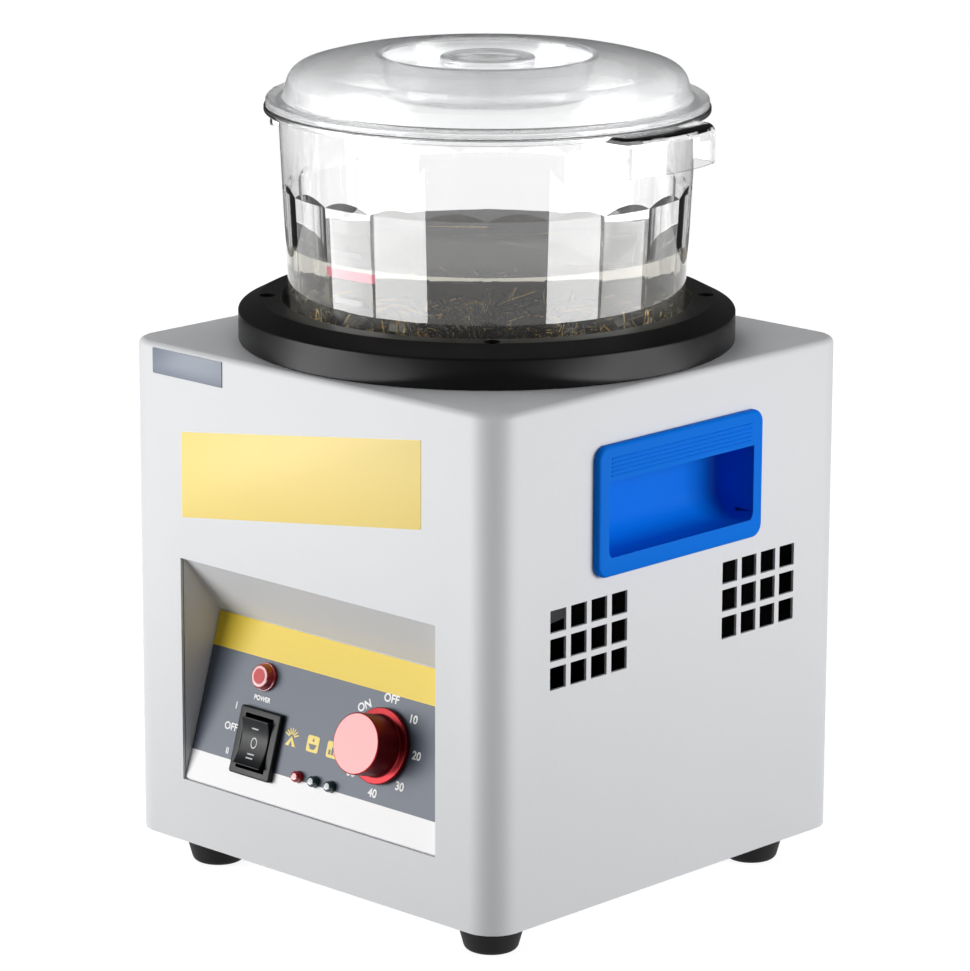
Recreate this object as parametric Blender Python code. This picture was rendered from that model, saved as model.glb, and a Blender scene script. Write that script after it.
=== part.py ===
"""Bench magnetic tumbler: a sheet-metal cabinet with a motor-driven magnet disc under a clear lidded bowl.

Metres, +Z up. The origin is on the floor under the middle of the cabinet. The control panel faces -Y.
"""

import bmesh
import bpy
from math import asin, atan2, ceil, cos, hypot, pi, radians, sin, tan
from mathutils import Matrix, Vector

# Clearances and round-shape resolution
FIT_GAP = 0.0003  # between faces that sit against each other
RUN_GAP = 0.0006  # around pieces that turn or rock
ARC_STEP = radians(30)  # longest step along a fillet
SMALL_FILLET = 0.002  # a smaller fillet is drawn as one chamfer
ROUND_SIDES = 12  # sides of small round pieces

# Cabinet shell and base plate
BODY_WIDTH = 0.230
BODY_DEPTH = 0.230
BODY_HEIGHT = 0.230
SHEET = 0.0015
CORNER_RADIUS = 0.015
FOLD_RADIUS = 0.003
FLANGE_MARGIN = 0.012  # return flange past the foot screws
AIR_SLOT_LENGTH = 0.060
AIR_SLOT_WIDTH = 0.004
AIR_SLOT_PITCH = 0.010
AIR_SLOT_COUNT = 5
AIR_SLOT_X = -0.025
AIR_SLOT_Y = -0.056

# Feet
FOOT_HEIGHT = 0.017
FOOT_TOP_RADIUS = 0.0160
FOOT_BOTTOM_RADIUS = 0.0116
FOOT_EDGE = 0.003
FOOT_INSET = 0.0280
FOOT_SIDES = 16
FOOT_SCREW_RADIUS = 0.002
FOOT_SCREW_HEAD_RADIUS = 0.004
FOOT_SCREW_HEAD_HEIGHT = 0.0025
FOOT_SCREW_SINK = 0.007

# Side vents
VENT_HOLE = 0.010
VENT_PITCH_ACROSS = 0.013
VENT_PITCH_UP = 0.0127
VENT_COLUMNS = 4
VENT_ROWS = 3
VENT_FROM_MIDDLE = 0.0315
VENT_LOW = 0.1044

# Recessed side handles
HANDLE_LENGTH = 0.108
HANDLE_HEIGHT = 0.0583
HANDLE_LOW = 0.1488
HANDLE_PROUD = 0.0035
HANDLE_CORNER = 0.006
HANDLE_EDGE = 0.0015
HANDLE_WALL = 0.002
POCKET_LENGTH = 0.095
POCKET_HEIGHT = 0.0347
POCKET_SILL = 0.0078  # bezel under the pocket
POCKET_DEPTH = 0.0195
POCKET_SWEEP = 0.014  # radius from the pocket's floor to its back
POCKET_ROOF = 0.007  # finger room behind the lip
GRIP_LIP = 0.006

# Control recess
RECESS_WIDTH = 0.160
RECESS_LOW = 0.0295
RECESS_HIGH = 0.1335
PANEL_SETBACK = 0.0226
PANEL_RISE = 0.0754
TRAY_FLANGE = 0.008
OVERLAY_THICKNESS = 0.0005
OVERLAY_MARGIN = 0.0006
OVERLAY_ROOF_GAP = 0.0004

# Timer
TIMER_X = 0.0355
TIMER_UP = 0.0393
TIMER_BODY = 0.042
TIMER_BODY_DEPTH = 0.026
TIMER_BUSH_RADIUS = 0.005
TIMER_BUSH_REACH = 0.0032  # past the nut's seat
TIMER_NUT_RADIUS = 0.0082
TIMER_NUT_THICKNESS = 0.0022
TIMER_SHAFT_RADIUS = 0.003
TIMER_SHAFT_SUNK = 0.012
KNOB_SKIRT_RADIUS = 0.0170
KNOB_SKIRT_HEIGHT = 0.0026
KNOB_RADIUS = 0.0137
KNOB_HEIGHT = 0.0165
KNOB_EDGE = 0.0006
KNOB_FACE = 0.0030  # solid face over the shaft
KNOB_HOLLOW_DEPTH = 0.0066
KNOB_SIDES = 28

# Rocker switch
SWITCH_X = -0.0385
SWITCH_UP = 0.0247
SWITCH_BEZEL_WIDTH = 0.0260
SWITCH_BEZEL_LENGTH = 0.0310
SWITCH_BEZEL_HEIGHT = 0.0025
SWITCH_EDGE = 0.001
SWITCH_BODY_WIDTH = 0.0220
SWITCH_BODY_LENGTH = 0.0275
SWITCH_BODY_DEPTH = 0.020
ROCKER_WIDTH = 0.0170
ROCKER_LENGTH = 0.0215
ROCKER_CREST = 0.0066  # ends of the rocker over the panel
ROCKER_DIP = 0.0026  # hollow in the middle of its face
ROCKER_SWING_ROOM = 0.0018
ROCKER_PIVOT_DEPTH = 0.003
ROCKER_PIVOT_RADIUS = 0.0015
ROCKER_PIVOT_REACH = 0.0009
ROCKER_KEEL = 0.006

# Lamp and indicator lights
LAMP_X = -0.0420
LAMP_UP = 0.0546
LAMP_FLANGE_RADIUS = 0.0065
LAMP_FLANGE_HEIGHT = 0.0012
LAMP_BASE_RADIUS = 0.0059
LAMP_FACE_RADIUS = 0.0053
LAMP_HEIGHT = 0.0046
LAMP_STEM_RADIUS = 0.0042
LAMP_STEM_LENGTH = 0.011
LAMP_HOLDER_RADIUS = 0.0072
LAMP_HOLDER_LENGTH = 0.016
LED_X = -0.0101
LED_PITCH = 0.01035
LED_UP = 0.0156
LED_COUNT = 3
LED_RADIUS = 0.0025
LED_HEIGHT = 0.0034
LED_RIM_RADIUS = 0.0031
LED_RIM_HEIGHT = 0.0012
LED_TAIL = 0.004

# Bowl seat and its screws
SEAT_HEIGHT = 0.0185
SEAT_WALL_HEIGHT = 0.0135
SEAT_FLAT = 0.0097
SEAT_CHAMFER = 0.0097
SEAT_FLOOR = 0.003
SEAT_CLEARANCE = 0.0041
SEAT_SCREW_FROM_BORE = 0.0062
SEAT_SCREW_RADIUS = 0.002
SEAT_SCREW_HEAD_RADIUS = 0.0034
SEAT_SCREW_HEAD_HEIGHT = 0.003
SEAT_SCREW_SINK = 0.005
SEAT_SCREW_GRIP = 0.010
SEAT_SIDES = 48

# Bowl
BOWL_HEIGHT = 0.1024
BOWL_FOOT_RADIUS = 0.0882
BOWL_TOP_RADIUS = 0.0932
BOWL_WALL = 0.0026
BOWL_FLOOR = 0.003
BOWL_CORNER = 0.009
RIM_OVERHANG = 0.0064
RIM_THICKNESS = 0.0026
RIM_EDGE = 0.0008
FACET_COUNT = 21
FACET_LOW = 0.015
FACET_TOP = 0.0654
FACET_ARCH = 0.0036
FACET_TURN = radians(-46.3)
FACET_COLUMNS = 3
EAR_TURN = radians(2.6)
EAR_RADIUS = 0.1105
EAR_WIDTH = 0.062
EAR_HEIGHT = 0.0176
EAR_WALL = 0.0022
EAR_CORNER = 0.0055
EAR_EDGE = 0.004
EAR_SIDE_GAP = 0.0023  # from the wall to the skirt's side

# Lid
LID_FLANGE_RADIUS = 0.0988
LID_FLANGE_THICKNESS = 0.003
LID_WALL = 0.0026
LID_SPIGOT = 0.004
LID_SPIGOT_GAP = 0.0006
DOME_FOOT_RADIUS = 0.0913
DOME_SHOULDER_RADIUS = 0.0880
DOME_SHOULDER_HEIGHT = 0.0125
DOME_SHOULDER_ROUND = 0.010
DOME_BROW_RADIUS = 0.0700
DOME_BROW_HEIGHT = 0.0175
WELL_RADIUS = 0.0470
WELL_HEIGHT = 0.0193
WELL_FLOOR_RADIUS = 0.0430
WELL_DEPTH = 0.0155
WELL_ROUND = 0.003
LID_KNOB_RADIUS = 0.0213
LID_KNOB_THICKNESS = 0.0042
LID_KNOB_STEM = 0.0135
LID_KNOB_BELOW_RIM = 0.0012
LID_SIDES = 36

# Motor, hung from the seat's screws
STANDOFF_RADIUS = 0.0045
STANDOFF_LENGTH = 0.036
STANDOFF_STUD_RADIUS = 0.002
PLATE_THICKNESS = 0.003
PLATE_ARM = 0.018
PLATE_CENTRE_RADIUS = 0.046
MOTOR_RADIUS = 0.038
MOTOR_SIDES = 16
CAN_LENGTH = 0.062
CAN_WALL = 0.012
BELL_HEIGHT = 0.012
SPIGOT_RADIUS = 0.013
BEARING_RADIUS = 0.011
BEARING_WIDTH = 0.007
SHAFT_RADIUS = 0.004
ROTOR_GAP = 0.001
ROTOR_LENGTH = 0.044
DISC_RADIUS = 0.072
DISC_THICKNESS = 0.008
DISC_SIDES = 24
DISC_TO_SEAT = 0.0016
DISC_TO_TOP_HOLE = 0.007
HUB_RADIUS = 0.015
HUB_LENGTH = 0.014
MAGNET_COUNT = 4
MAGNET_RADIUS = 0.016
MAGNET_HEIGHT = 0.005
MAGNET_CIRCLE = 0.048
FAN_BLADES = 6
FAN_RADIUS = 0.034
FAN_HUB_RADIUS = 0.010
FAN_HEIGHT = 0.012
FAN_BLADE = 0.0016
FAN_PITCH = radians(40)
FAN_DROP = 0.003

# Electrics on the base plate and the rear wall
BOARD_X = -0.020
BOARD_Y = 0.026
BOARD_LENGTH = 0.080
BOARD_WIDTH = 0.060
BOARD_THICKNESS = 0.0016
BOARD_PARTS = ((-0.024, 0.012, 0.020, 0.016, 0.015), (0.006, 0.014, 0.016, 0.012, 0.010),
               (0.0, -0.020, 0.046, 0.010, 0.011))  # x, y, length, width, height
CARRIER_THICKNESS = 0.002
CARRIER_POST_RADIUS = 0.003
CARRIER_POST_HEIGHT = 0.006
CARRIER_POST_INSET = 0.005
CAPACITOR_X = 0.047
CAPACITOR_Y = -0.036
CAPACITOR_RADIUS = 0.017
CAPACITOR_HEIGHT = 0.058
CAPACITOR_EDGE = 0.002
CLIP_WALL = 0.0015
CLIP_HEIGHT = 0.012
INLET_FROM_SIDE = 0.055
INLET_HEIGHT = 0.045
INLET_FLANGE_LENGTH = 0.050
INLET_FLANGE_WIDTH = 0.028
INLET_FLANGE_THICKNESS = 0.0032
INLET_CORNER = 0.005
INLET_LENGTH = 0.0285
INLET_WIDTH = 0.0215
INLET_DEPTH = 0.021
SOCKET_LENGTH = 0.0245
SOCKET_WIDTH = 0.0170
SOCKET_DEPTH = 0.017
PIN_WIDTH = 0.004
PIN_THICKNESS = 0.002
PIN_PITCH = 0.007
PIN_OFFSET = 0.002
PIN_SHY = 0.004  # pin tips below the flange's face
PIN_TAIL = 0.007
INLET_SCREW_PITCH = 0.040
INLET_SCREW_RADIUS = 0.0015
INLET_SCREW_HEAD_RADIUS = 0.0029
INLET_SCREW_HEAD_HEIGHT = 0.0016
INLET_SCREW_LENGTH = 0.010

# Levels that the sizes above set
BASE_Z = FOOT_HEIGHT
TOP_Z = BASE_Z + BODY_HEIGHT
DECK_Z = BASE_Z + SHEET  # upper face of the base plate
UNDER_TOP_Z = TOP_Z - SHEET
SEAT_Z = TOP_Z + FIT_GAP
BOWL_Z = SEAT_Z + SEAT_FLOOR + FIT_GAP
RIM_Z = BOWL_Z + BOWL_HEIGHT
LID_Z = RIM_Z + FIT_GAP
SEAT_BORE = BOWL_FOOT_RADIUS + SEAT_CLEARANCE
SEAT_SCREW_CIRCLE = SEAT_BORE + SEAT_SCREW_FROM_BORE
PLATE_Z = UNDER_TOP_Z - STANDOFF_LENGTH - 2 * FIT_GAP  # upper face of the motor plate
DISC_Z = SEAT_Z - DISC_TO_SEAT  # upper face of the magnet disc
TRAY_Y = -BODY_DEPTH / 2 + SHEET + FIT_GAP
PANEL_TILT = atan2(PANEL_SETBACK, PANEL_RISE)
PANEL_LENGTH = hypot(PANEL_SETBACK, PANEL_RISE)
OVERLAY_TOP = FIT_GAP + OVERLAY_THICKNESS
BEHIND_PANEL = -SHEET - FIT_GAP
INLET_X = INLET_FROM_SIDE - BODY_WIDTH / 2
FOOT_X = BODY_WIDTH / 2 - FOOT_INSET
FOOT_Y = BODY_DEPTH / 2 - FOOT_INSET
CORNERS = {"front_left": (-1, -1), "front_right": (1, -1), "rear_left": (-1, 1), "rear_right": (1, 1)}


def clear_scene():
    for item in list(bpy.data.objects):
        bpy.data.objects.remove(item, do_unlink=True)


def finish(name, colour, roughness, metallic=0.0, transmission=0.0):
    made = bpy.data.materials.new(name)
    made.use_nodes = True
    shader = made.node_tree.nodes["Principled BSDF"]
    shader.inputs["Base Color"].default_value = (*colour, 1.0)
    shader.inputs["Roughness"].default_value = roughness
    shader.inputs["Metallic"].default_value = metallic
    shader.inputs["Transmission Weight"].default_value = transmission
    made.diffuse_color = (*colour, 1.0)
    return made


# Outlines and solids

def filleted(corners, closed=False):
    """Points along corners given as (x, y, radius). A radius is limited by the edges that it joins."""
    points = []
    for i, (x, y, radius) in enumerate(corners):
        here = Vector((x, y))
        if radius <= 0 or (not closed and i in (0, len(corners) - 1)):
            points.append(here)
            continue
        back = Vector(corners[i - 1][:2]) - here
        ahead = Vector(corners[(i + 1) % len(corners)][:2]) - here
        half = back.angle(ahead) / 2
        reach = min(radius / tan(half), 0.48 * back.length, 0.48 * ahead.length)
        radius = reach * tan(half)
        centre = here + (back.normalized() + ahead.normalized()).normalized() * radius / sin(half)
        first = here + back.normalized() * reach - centre
        last = here + ahead.normalized() * reach - centre
        sweep = atan2(first.x * last.y - first.y * last.x, first.dot(last))
        steps = 1 if radius < SMALL_FILLET else ceil(abs(sweep) / ARC_STEP)
        points += [centre + Matrix.Rotation(sweep * k / steps, 2) @ first for k in range(steps + 1)]
    return points


def turned(profile, sides=ROUND_SIDES, ring=False):
    """Solid turned about Z from (radius, height) points. A ring's profile closes on itself."""
    bm = bmesh.new()
    verts = [bm.verts.new((radius, 0, height)) for radius, height in profile]
    pairs = list(zip(verts, verts[1:]))
    if ring:
        pairs.append((verts[-1], verts[0]))
    edges = [bm.edges.new(pair) for pair in pairs]
    bmesh.ops.spin(bm, geom=verts + edges, cent=(0, 0, 0), axis=(0, 0, 1), angle=2 * pi,
                   steps=sides, use_merge=True, use_duplicate=False)
    bmesh.ops.remove_doubles(bm, verts=bm.verts, dist=1e-6)
    bmesh.ops.recalc_face_normals(bm, faces=bm.faces)
    return bm


def cylinder(radius, low, high, sides=ROUND_SIDES):
    return turned([(0, low), (radius, low), (radius, high), (0, high)], sides)


def tube(outer, inner, low, high, sides=ROUND_SIDES):
    return turned([(inner, low), (outer, low), (outer, high), (inner, high)], sides, ring=True)


def pin(head_radius, head_height, radius, top, bottom):
    """Screw along Z with its head's upper face at top."""
    neck = top - head_height
    return turned([(0, top), (head_radius, top), (head_radius, neck), (radius, neck),
                   (radius, bottom), (0, bottom)])


def prism(outline, low, high):
    """Outline in XY, drawn up from low to high."""
    bm = bmesh.new()
    face = bm.faces.new([bm.verts.new((point[0], point[1], low)) for point in outline])
    drawn = bmesh.ops.extrude_face_region(bm, geom=[face])
    moved = [item for item in drawn["geom"] if isinstance(item, bmesh.types.BMVert)]
    bmesh.ops.translate(bm, verts=moved, vec=(0, 0, high - low))
    bmesh.ops.recalc_face_normals(bm, faces=bm.faces)
    return bm


def box(x, y, z):
    """Box between pairs of limits."""
    return prism([(x[0], y[0]), (x[1], y[0]), (x[1], y[1]), (x[0], y[1])], z[0], z[1])


def slab(width, depth, radius, low, high):
    """Upright slab with rounded corners, centred on the origin."""
    x, y = width / 2, depth / 2
    corners = [(-x, -y, radius), (x, -y, radius), (x, y, radius), (-x, y, radius)]
    return prism(filleted(corners, closed=True), low, high)


def soften_top(bm, width, segments=2):
    """Rounds the edges of the highest face."""
    high = max(vert.co.z for vert in bm.verts)
    rim = [edge for edge in bm.edges if all(high - vert.co.z < 1e-6 for vert in edge.verts)]
    bmesh.ops.bevel(bm, geom=rim, offset=width, segments=segments, profile=0.5, affect="EDGES",
                    clamp_overlap=True)
    return bm


def shifted(bm, offset=(0, 0, 0), turn=0.0, axis="Z"):
    bmesh.ops.rotate(bm, verts=bm.verts, cent=(0, 0, 0), matrix=Matrix.Rotation(turn, 3, axis))
    bmesh.ops.translate(bm, verts=bm.verts, vec=offset)
    return bm


def gathered(shapes):
    """Several separate shapes in one mesh, for use as a cutter."""
    bm = bmesh.new()
    for shape in shapes:
        held = bpy.data.meshes.new("held")
        shape.to_mesh(held)
        shape.free()
        bm.from_mesh(held)
        bpy.data.meshes.remove(held)
    return bm


def ring_places(count, radius, start):
    return [(radius * cos(start + 2 * pi * k / count), radius * sin(start + 2 * pi * k / count))
            for k in range(count)]


# Objects

def empty(name, location, rotation=(0, 0, 0), parent=None):
    made = bpy.data.objects.new(name, None)
    made.location = location
    made.rotation_euler = rotation
    made.parent = parent
    bpy.context.scene.collection.objects.link(made)
    return made


def piece(name, bm, material, parent=None, location=(0, 0, 0), rotation=(0, 0, 0)):
    mesh = bpy.data.meshes.new(name)
    bm.to_mesh(mesh)
    bm.free()
    mesh.shade_smooth()
    mesh.set_sharp_from_angle(angle=radians(35))
    made = bpy.data.objects.new(name, mesh)
    if material:
        mesh.materials.append(material)
    made.location = location
    made.rotation_euler = rotation
    made.parent = parent
    bpy.context.scene.collection.objects.link(made)
    return made


def shape(target, operation, bm):
    """Cuts a hidden shape from a piece, or joins it on. The shape is drawn in the piece's own frame."""
    tool = piece(f"{target.name}_{operation.lower()}_{len(target.modifiers)}", bm, None,
                 target.parent, target.location, target.rotation_euler)
    tool.hide_render = True
    tool.display_type = "WIRE"
    modifier = target.modifiers.new(tool.name, "BOOLEAN")
    modifier.operation = operation
    modifier.object = tool


def cut(target, *shapes):
    shape(target, "DIFFERENCE", gathered(shapes))


def join(target, *shapes):
    for each in shapes:
        shape(target, "UNION", each)


# Cabinet

def handle_window():
    """Limits of the pocket's outside, across and up from the middle of the bezel's lower edge."""
    half = POCKET_LENGTH / 2 + HANDLE_WALL
    roof = POCKET_SILL + POCKET_HEIGHT + POCKET_ROOF
    return half, POCKET_SILL - HANDLE_WALL, roof + HANDLE_WALL


def vent_shapes():
    """Bars through both side walls, one for each vent of a block and its mirror block."""
    bars = []
    x = (-BODY_WIDTH, BODY_WIDTH)
    for row in range(VENT_ROWS):
        low = BASE_Z + VENT_LOW + row * VENT_PITCH_UP
        for column in range(VENT_COLUMNS):
            near = VENT_FROM_MIDDLE + column * VENT_PITCH_ACROSS
            for y in ((near, near + VENT_HOLE), (-near - VENT_HOLE, -near)):
                bars.append(box(x, y, (low, low + VENT_HOLE)))
    return bars


def housing(coat):
    inner_width, inner_depth = BODY_WIDTH - 2 * SHEET, BODY_DEPTH - 2 * SHEET
    inner_radius = CORNER_RADIUS - SHEET
    over = SHEET  # how far cutters run past the faces they open
    shell = soften_top(slab(BODY_WIDTH, BODY_DEPTH, CORNER_RADIUS, BASE_Z, TOP_Z), FOLD_RADIUS, 3)
    shell = piece("housing_shell", shell, coat)
    flange_z = DECK_Z + FIT_GAP + SHEET
    hollow = slab(inner_width, inner_depth, inner_radius, flange_z, UNDER_TOP_Z)
    cut(shell, soften_top(hollow, max(FOLD_RADIUS - SHEET, FIT_GAP)))
    cut(shell, slab(inner_width, inner_depth, inner_radius, BASE_Z - over, DECK_Z + FIT_GAP))
    window_width = 2 * (FOOT_X - FLANGE_MARGIN)
    window_depth = 2 * (FOOT_Y - FLANGE_MARGIN)
    cut(shell, slab(window_width, window_depth, CORNER_RADIUS, BASE_Z - over, flange_z + over))
    half, low, high = handle_window()
    handle_z = BASE_Z + HANDLE_LOW
    front = -BODY_DEPTH / 2
    openings = vent_shapes()
    openings.append(box((-BODY_WIDTH, BODY_WIDTH), (-half - FIT_GAP, half + FIT_GAP),
                        (handle_z + low - FIT_GAP, handle_z + high + FIT_GAP)))
    openings.append(box((-RECESS_WIDTH / 2, RECESS_WIDTH / 2), (front - over, front + SHEET + over),
                        (BASE_Z + RECESS_LOW, BASE_Z + RECESS_HIGH)))
    openings.append(cylinder(DISC_RADIUS + DISC_TO_TOP_HOLE, UNDER_TOP_Z - over, TOP_Z + over, SEAT_SIDES))
    for x, y in ring_places(4, SEAT_SCREW_CIRCLE, pi / 4):
        hole = cylinder(SEAT_SCREW_RADIUS + FIT_GAP, UNDER_TOP_Z - over, TOP_Z + over)
        openings.append(shifted(hole, (x, y, 0)))
    for side, end in CORNERS.values():
        hole = cylinder(FOOT_SCREW_RADIUS + FIT_GAP, DECK_Z - over, flange_z + over)
        openings.append(shifted(hole, (side * FOOT_X, end * FOOT_Y, 0)))
    rear = (BODY_DEPTH / 2 - SHEET - over, BODY_DEPTH / 2 + over)
    inlet_z = BASE_Z + INLET_HEIGHT
    openings.append(box((INLET_X - INLET_LENGTH / 2 - FIT_GAP, INLET_X + INLET_LENGTH / 2 + FIT_GAP), rear,
                        (inlet_z - INLET_WIDTH / 2 - FIT_GAP, inlet_z + INLET_WIDTH / 2 + FIT_GAP)))
    for side in (-1, 1):
        hole = shifted(cylinder(INLET_SCREW_RADIUS + FIT_GAP, rear[0], rear[1]), turn=-pi / 2, axis="X")
        openings.append(shifted(hole, (INLET_X + side * INLET_SCREW_PITCH / 2, 0, inlet_z)))
    cut(shell, *openings)


def base_plate(zinc):
    room = 2 * (SHEET + FIT_GAP)
    plate = piece("base_plate", slab(BODY_WIDTH - room, BODY_DEPTH - room, CORNER_RADIUS - SHEET - FIT_GAP,
                                     BASE_Z, DECK_Z), zinc)
    holes = []
    for side, end in CORNERS.values():
        hole = cylinder(FOOT_SCREW_RADIUS + FIT_GAP, BASE_Z - SHEET, DECK_Z + SHEET)
        holes.append(shifted(hole, (side * FOOT_X, end * FOOT_Y, 0)))
    for k in range(AIR_SLOT_COUNT):
        slot = slab(AIR_SLOT_LENGTH, AIR_SLOT_WIDTH, AIR_SLOT_WIDTH / 2, BASE_Z - SHEET, DECK_Z + SHEET)
        holes.append(shifted(slot, (AIR_SLOT_X, AIR_SLOT_Y + k * AIR_SLOT_PITCH, 0)))
    cut(plate, *holes)


def feet(rubber, zinc):
    top = FOOT_HEIGHT - FIT_GAP
    head_seat = FOOT_SCREW_SINK
    bore = FOOT_SCREW_RADIUS + FIT_GAP
    sink = FOOT_SCREW_HEAD_RADIUS + FIT_GAP
    corners = [(bore, top, 0), (bore, head_seat, 0), (sink, head_seat, 0), (sink, 0, 0),
               (FOOT_BOTTOM_RADIUS, 0, FOOT_EDGE), (FOOT_TOP_RADIUS, top, 0)]
    tip = DECK_Z + 2 * FIT_GAP + 3 * SHEET
    for corner, (side, end) in CORNERS.items():
        place = (side * FOOT_X, end * FOOT_Y, 0)
        piece(f"foot_{corner}", turned(filleted(corners), FOOT_SIDES, ring=True), rubber, location=place)
        screw = pin(FOOT_SCREW_HEAD_RADIUS, FOOT_SCREW_HEAD_HEIGHT, FOOT_SCREW_RADIUS,
                    FOOT_SCREW_HEAD_HEIGHT + FIT_GAP - head_seat, -tip)
        piece(f"foot_screw_{corner}", screw, zinc, location=place, rotation=(pi, 0, 0))


def handles(blue):
    half, low, high = handle_window()
    pocket_top = POCKET_SILL + POCKET_HEIGHT
    roof = pocket_top + POCKET_ROOF
    front = HANDLE_PROUD + HANDLE_WALL
    scoop = [(POCKET_SILL, front, 0), (POCKET_SILL, -POCKET_DEPTH, POCKET_SWEEP),
             (roof, -POCKET_DEPTH, HANDLE_WALL), (roof, -GRIP_LIP, 0), (pocket_top, -GRIP_LIP, 0),
             (pocket_top, front, 0)]
    outside = [(low, HANDLE_PROUD / 2, 0), (low, -POCKET_DEPTH - HANDLE_WALL, POCKET_SWEEP + HANDLE_WALL),
               (high, -POCKET_DEPTH - HANDLE_WALL, HANDLE_WALL), (high, HANDLE_PROUD / 2, 0)]
    for name, side in (("handle_right", 1), ("handle_left", -1)):
        bezel = shifted(slab(HANDLE_LENGTH, HANDLE_HEIGHT, HANDLE_CORNER, FIT_GAP, HANDLE_PROUD),
                        (0, HANDLE_HEIGHT / 2, 0))
        made = piece(name, soften_top(bezel, HANDLE_EDGE), blue, rotation=(pi / 2, 0, side * pi / 2),
                     location=(side * BODY_WIDTH / 2, 0, BASE_Z + HANDLE_LOW))
        # Both outlines lie in the (up, outward) plane and run along the wall.
        join(made, along_wall(filleted(outside, closed=True), half))
        cut(made, along_wall(filleted(scoop, closed=True), POCKET_LENGTH / 2))


def along_wall(outline, half):
    """Outline given as (up, outward) points, drawn along local X to half each way."""
    bm = prism(outline, -half, half)
    turn = Matrix(((0, 0, 1), (1, 0, 0), (0, 1, 0)))
    bmesh.ops.transform(bm, matrix=turn.to_4x4(), verts=bm.verts)
    return bm


# Control recess

def recess_tray(coat):
    """Sheet pocket behind the front opening: a flange, the sloping panel, a sloping roof and two cheeks."""
    x, out = RECESS_WIDTH / 2, TRAY_FLANGE
    low, high = BASE_Z + RECESS_LOW, BASE_Z + RECESS_HIGH
    bm = bmesh.new()
    edge = [bm.verts.new((sx * (x + out), TRAY_Y, z)) for sx, z in
            ((-1, low - out), (1, low - out), (1, high + out), (-1, high + out))]
    mouth = [bm.verts.new((sx * x, TRAY_Y, z)) for sx, z in ((-1, low), (1, low), (1, high), (-1, high))]
    left, right = [bm.verts.new((sx * x, TRAY_Y + PANEL_SETBACK, low + PANEL_RISE)) for sx in (-1, 1)]
    for k in range(4):
        bm.faces.new((edge[k], edge[(k + 1) % 4], mouth[(k + 1) % 4], mouth[k]))
    bm.faces.new((mouth[0], mouth[1], right, left))
    bm.faces.new((left, right, mouth[2], mouth[3]))
    bm.faces.new((mouth[0], left, mouth[3]))
    bm.faces.new((mouth[1], mouth[2], right))
    tray = piece("recess_tray", bm, coat)
    thickness = tray.modifiers.new("sheet", "SOLIDIFY")
    thickness.thickness = SHEET
    thickness.offset = -1
    thickness.solidify_mode = "NON_MANIFOLD"
    thickness.nonmanifold_thickness_mode = "CONSTRAINTS"
    return tray


def panel_holes(low, high):
    """Holes for every control, in the panel's frame."""
    switch = box((SWITCH_X - SWITCH_BODY_WIDTH / 2 - FIT_GAP, SWITCH_X + SWITCH_BODY_WIDTH / 2 + FIT_GAP),
                 (SWITCH_UP - SWITCH_BODY_LENGTH / 2 - FIT_GAP, SWITCH_UP + SWITCH_BODY_LENGTH / 2 + FIT_GAP),
                 (low, high))
    timer = shifted(cylinder(TIMER_BUSH_RADIUS + FIT_GAP, low, high), (TIMER_X, TIMER_UP, 0))
    lamp = shifted(cylinder(LAMP_STEM_RADIUS + FIT_GAP, low, high), (LAMP_X, LAMP_UP, 0))
    lights = [shifted(cylinder(LED_RADIUS + FIT_GAP, low, high), (x, LED_UP, 0)) for x in led_places()]
    return [switch, timer, lamp, *lights]


def led_places():
    return [LED_X + k * LED_PITCH for k in range(LED_COUNT)]


def overlay(panel, tray, print_sheet):
    half = RECESS_WIDTH / 2 - OVERLAY_MARGIN
    upper = PANEL_LENGTH - OVERLAY_ROOF_GAP
    sheet = box((-half, half), (OVERLAY_MARGIN, upper), (FIT_GAP, OVERLAY_TOP))
    made = piece("control_overlay", sheet, print_sheet, panel)
    cut(made, *panel_holes(-SHEET, OVERLAY_TOP + SHEET))
    # The tray is drawn in world space, so its holes are turned to the panel's place.
    holes = gathered(panel_holes(-3 * SHEET, SHEET))
    place = Matrix.Translation(panel.location) @ panel.rotation_euler.to_matrix().to_4x4()
    bmesh.ops.transform(holes, matrix=place, verts=holes.verts)
    cut(tray, holes)


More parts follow.
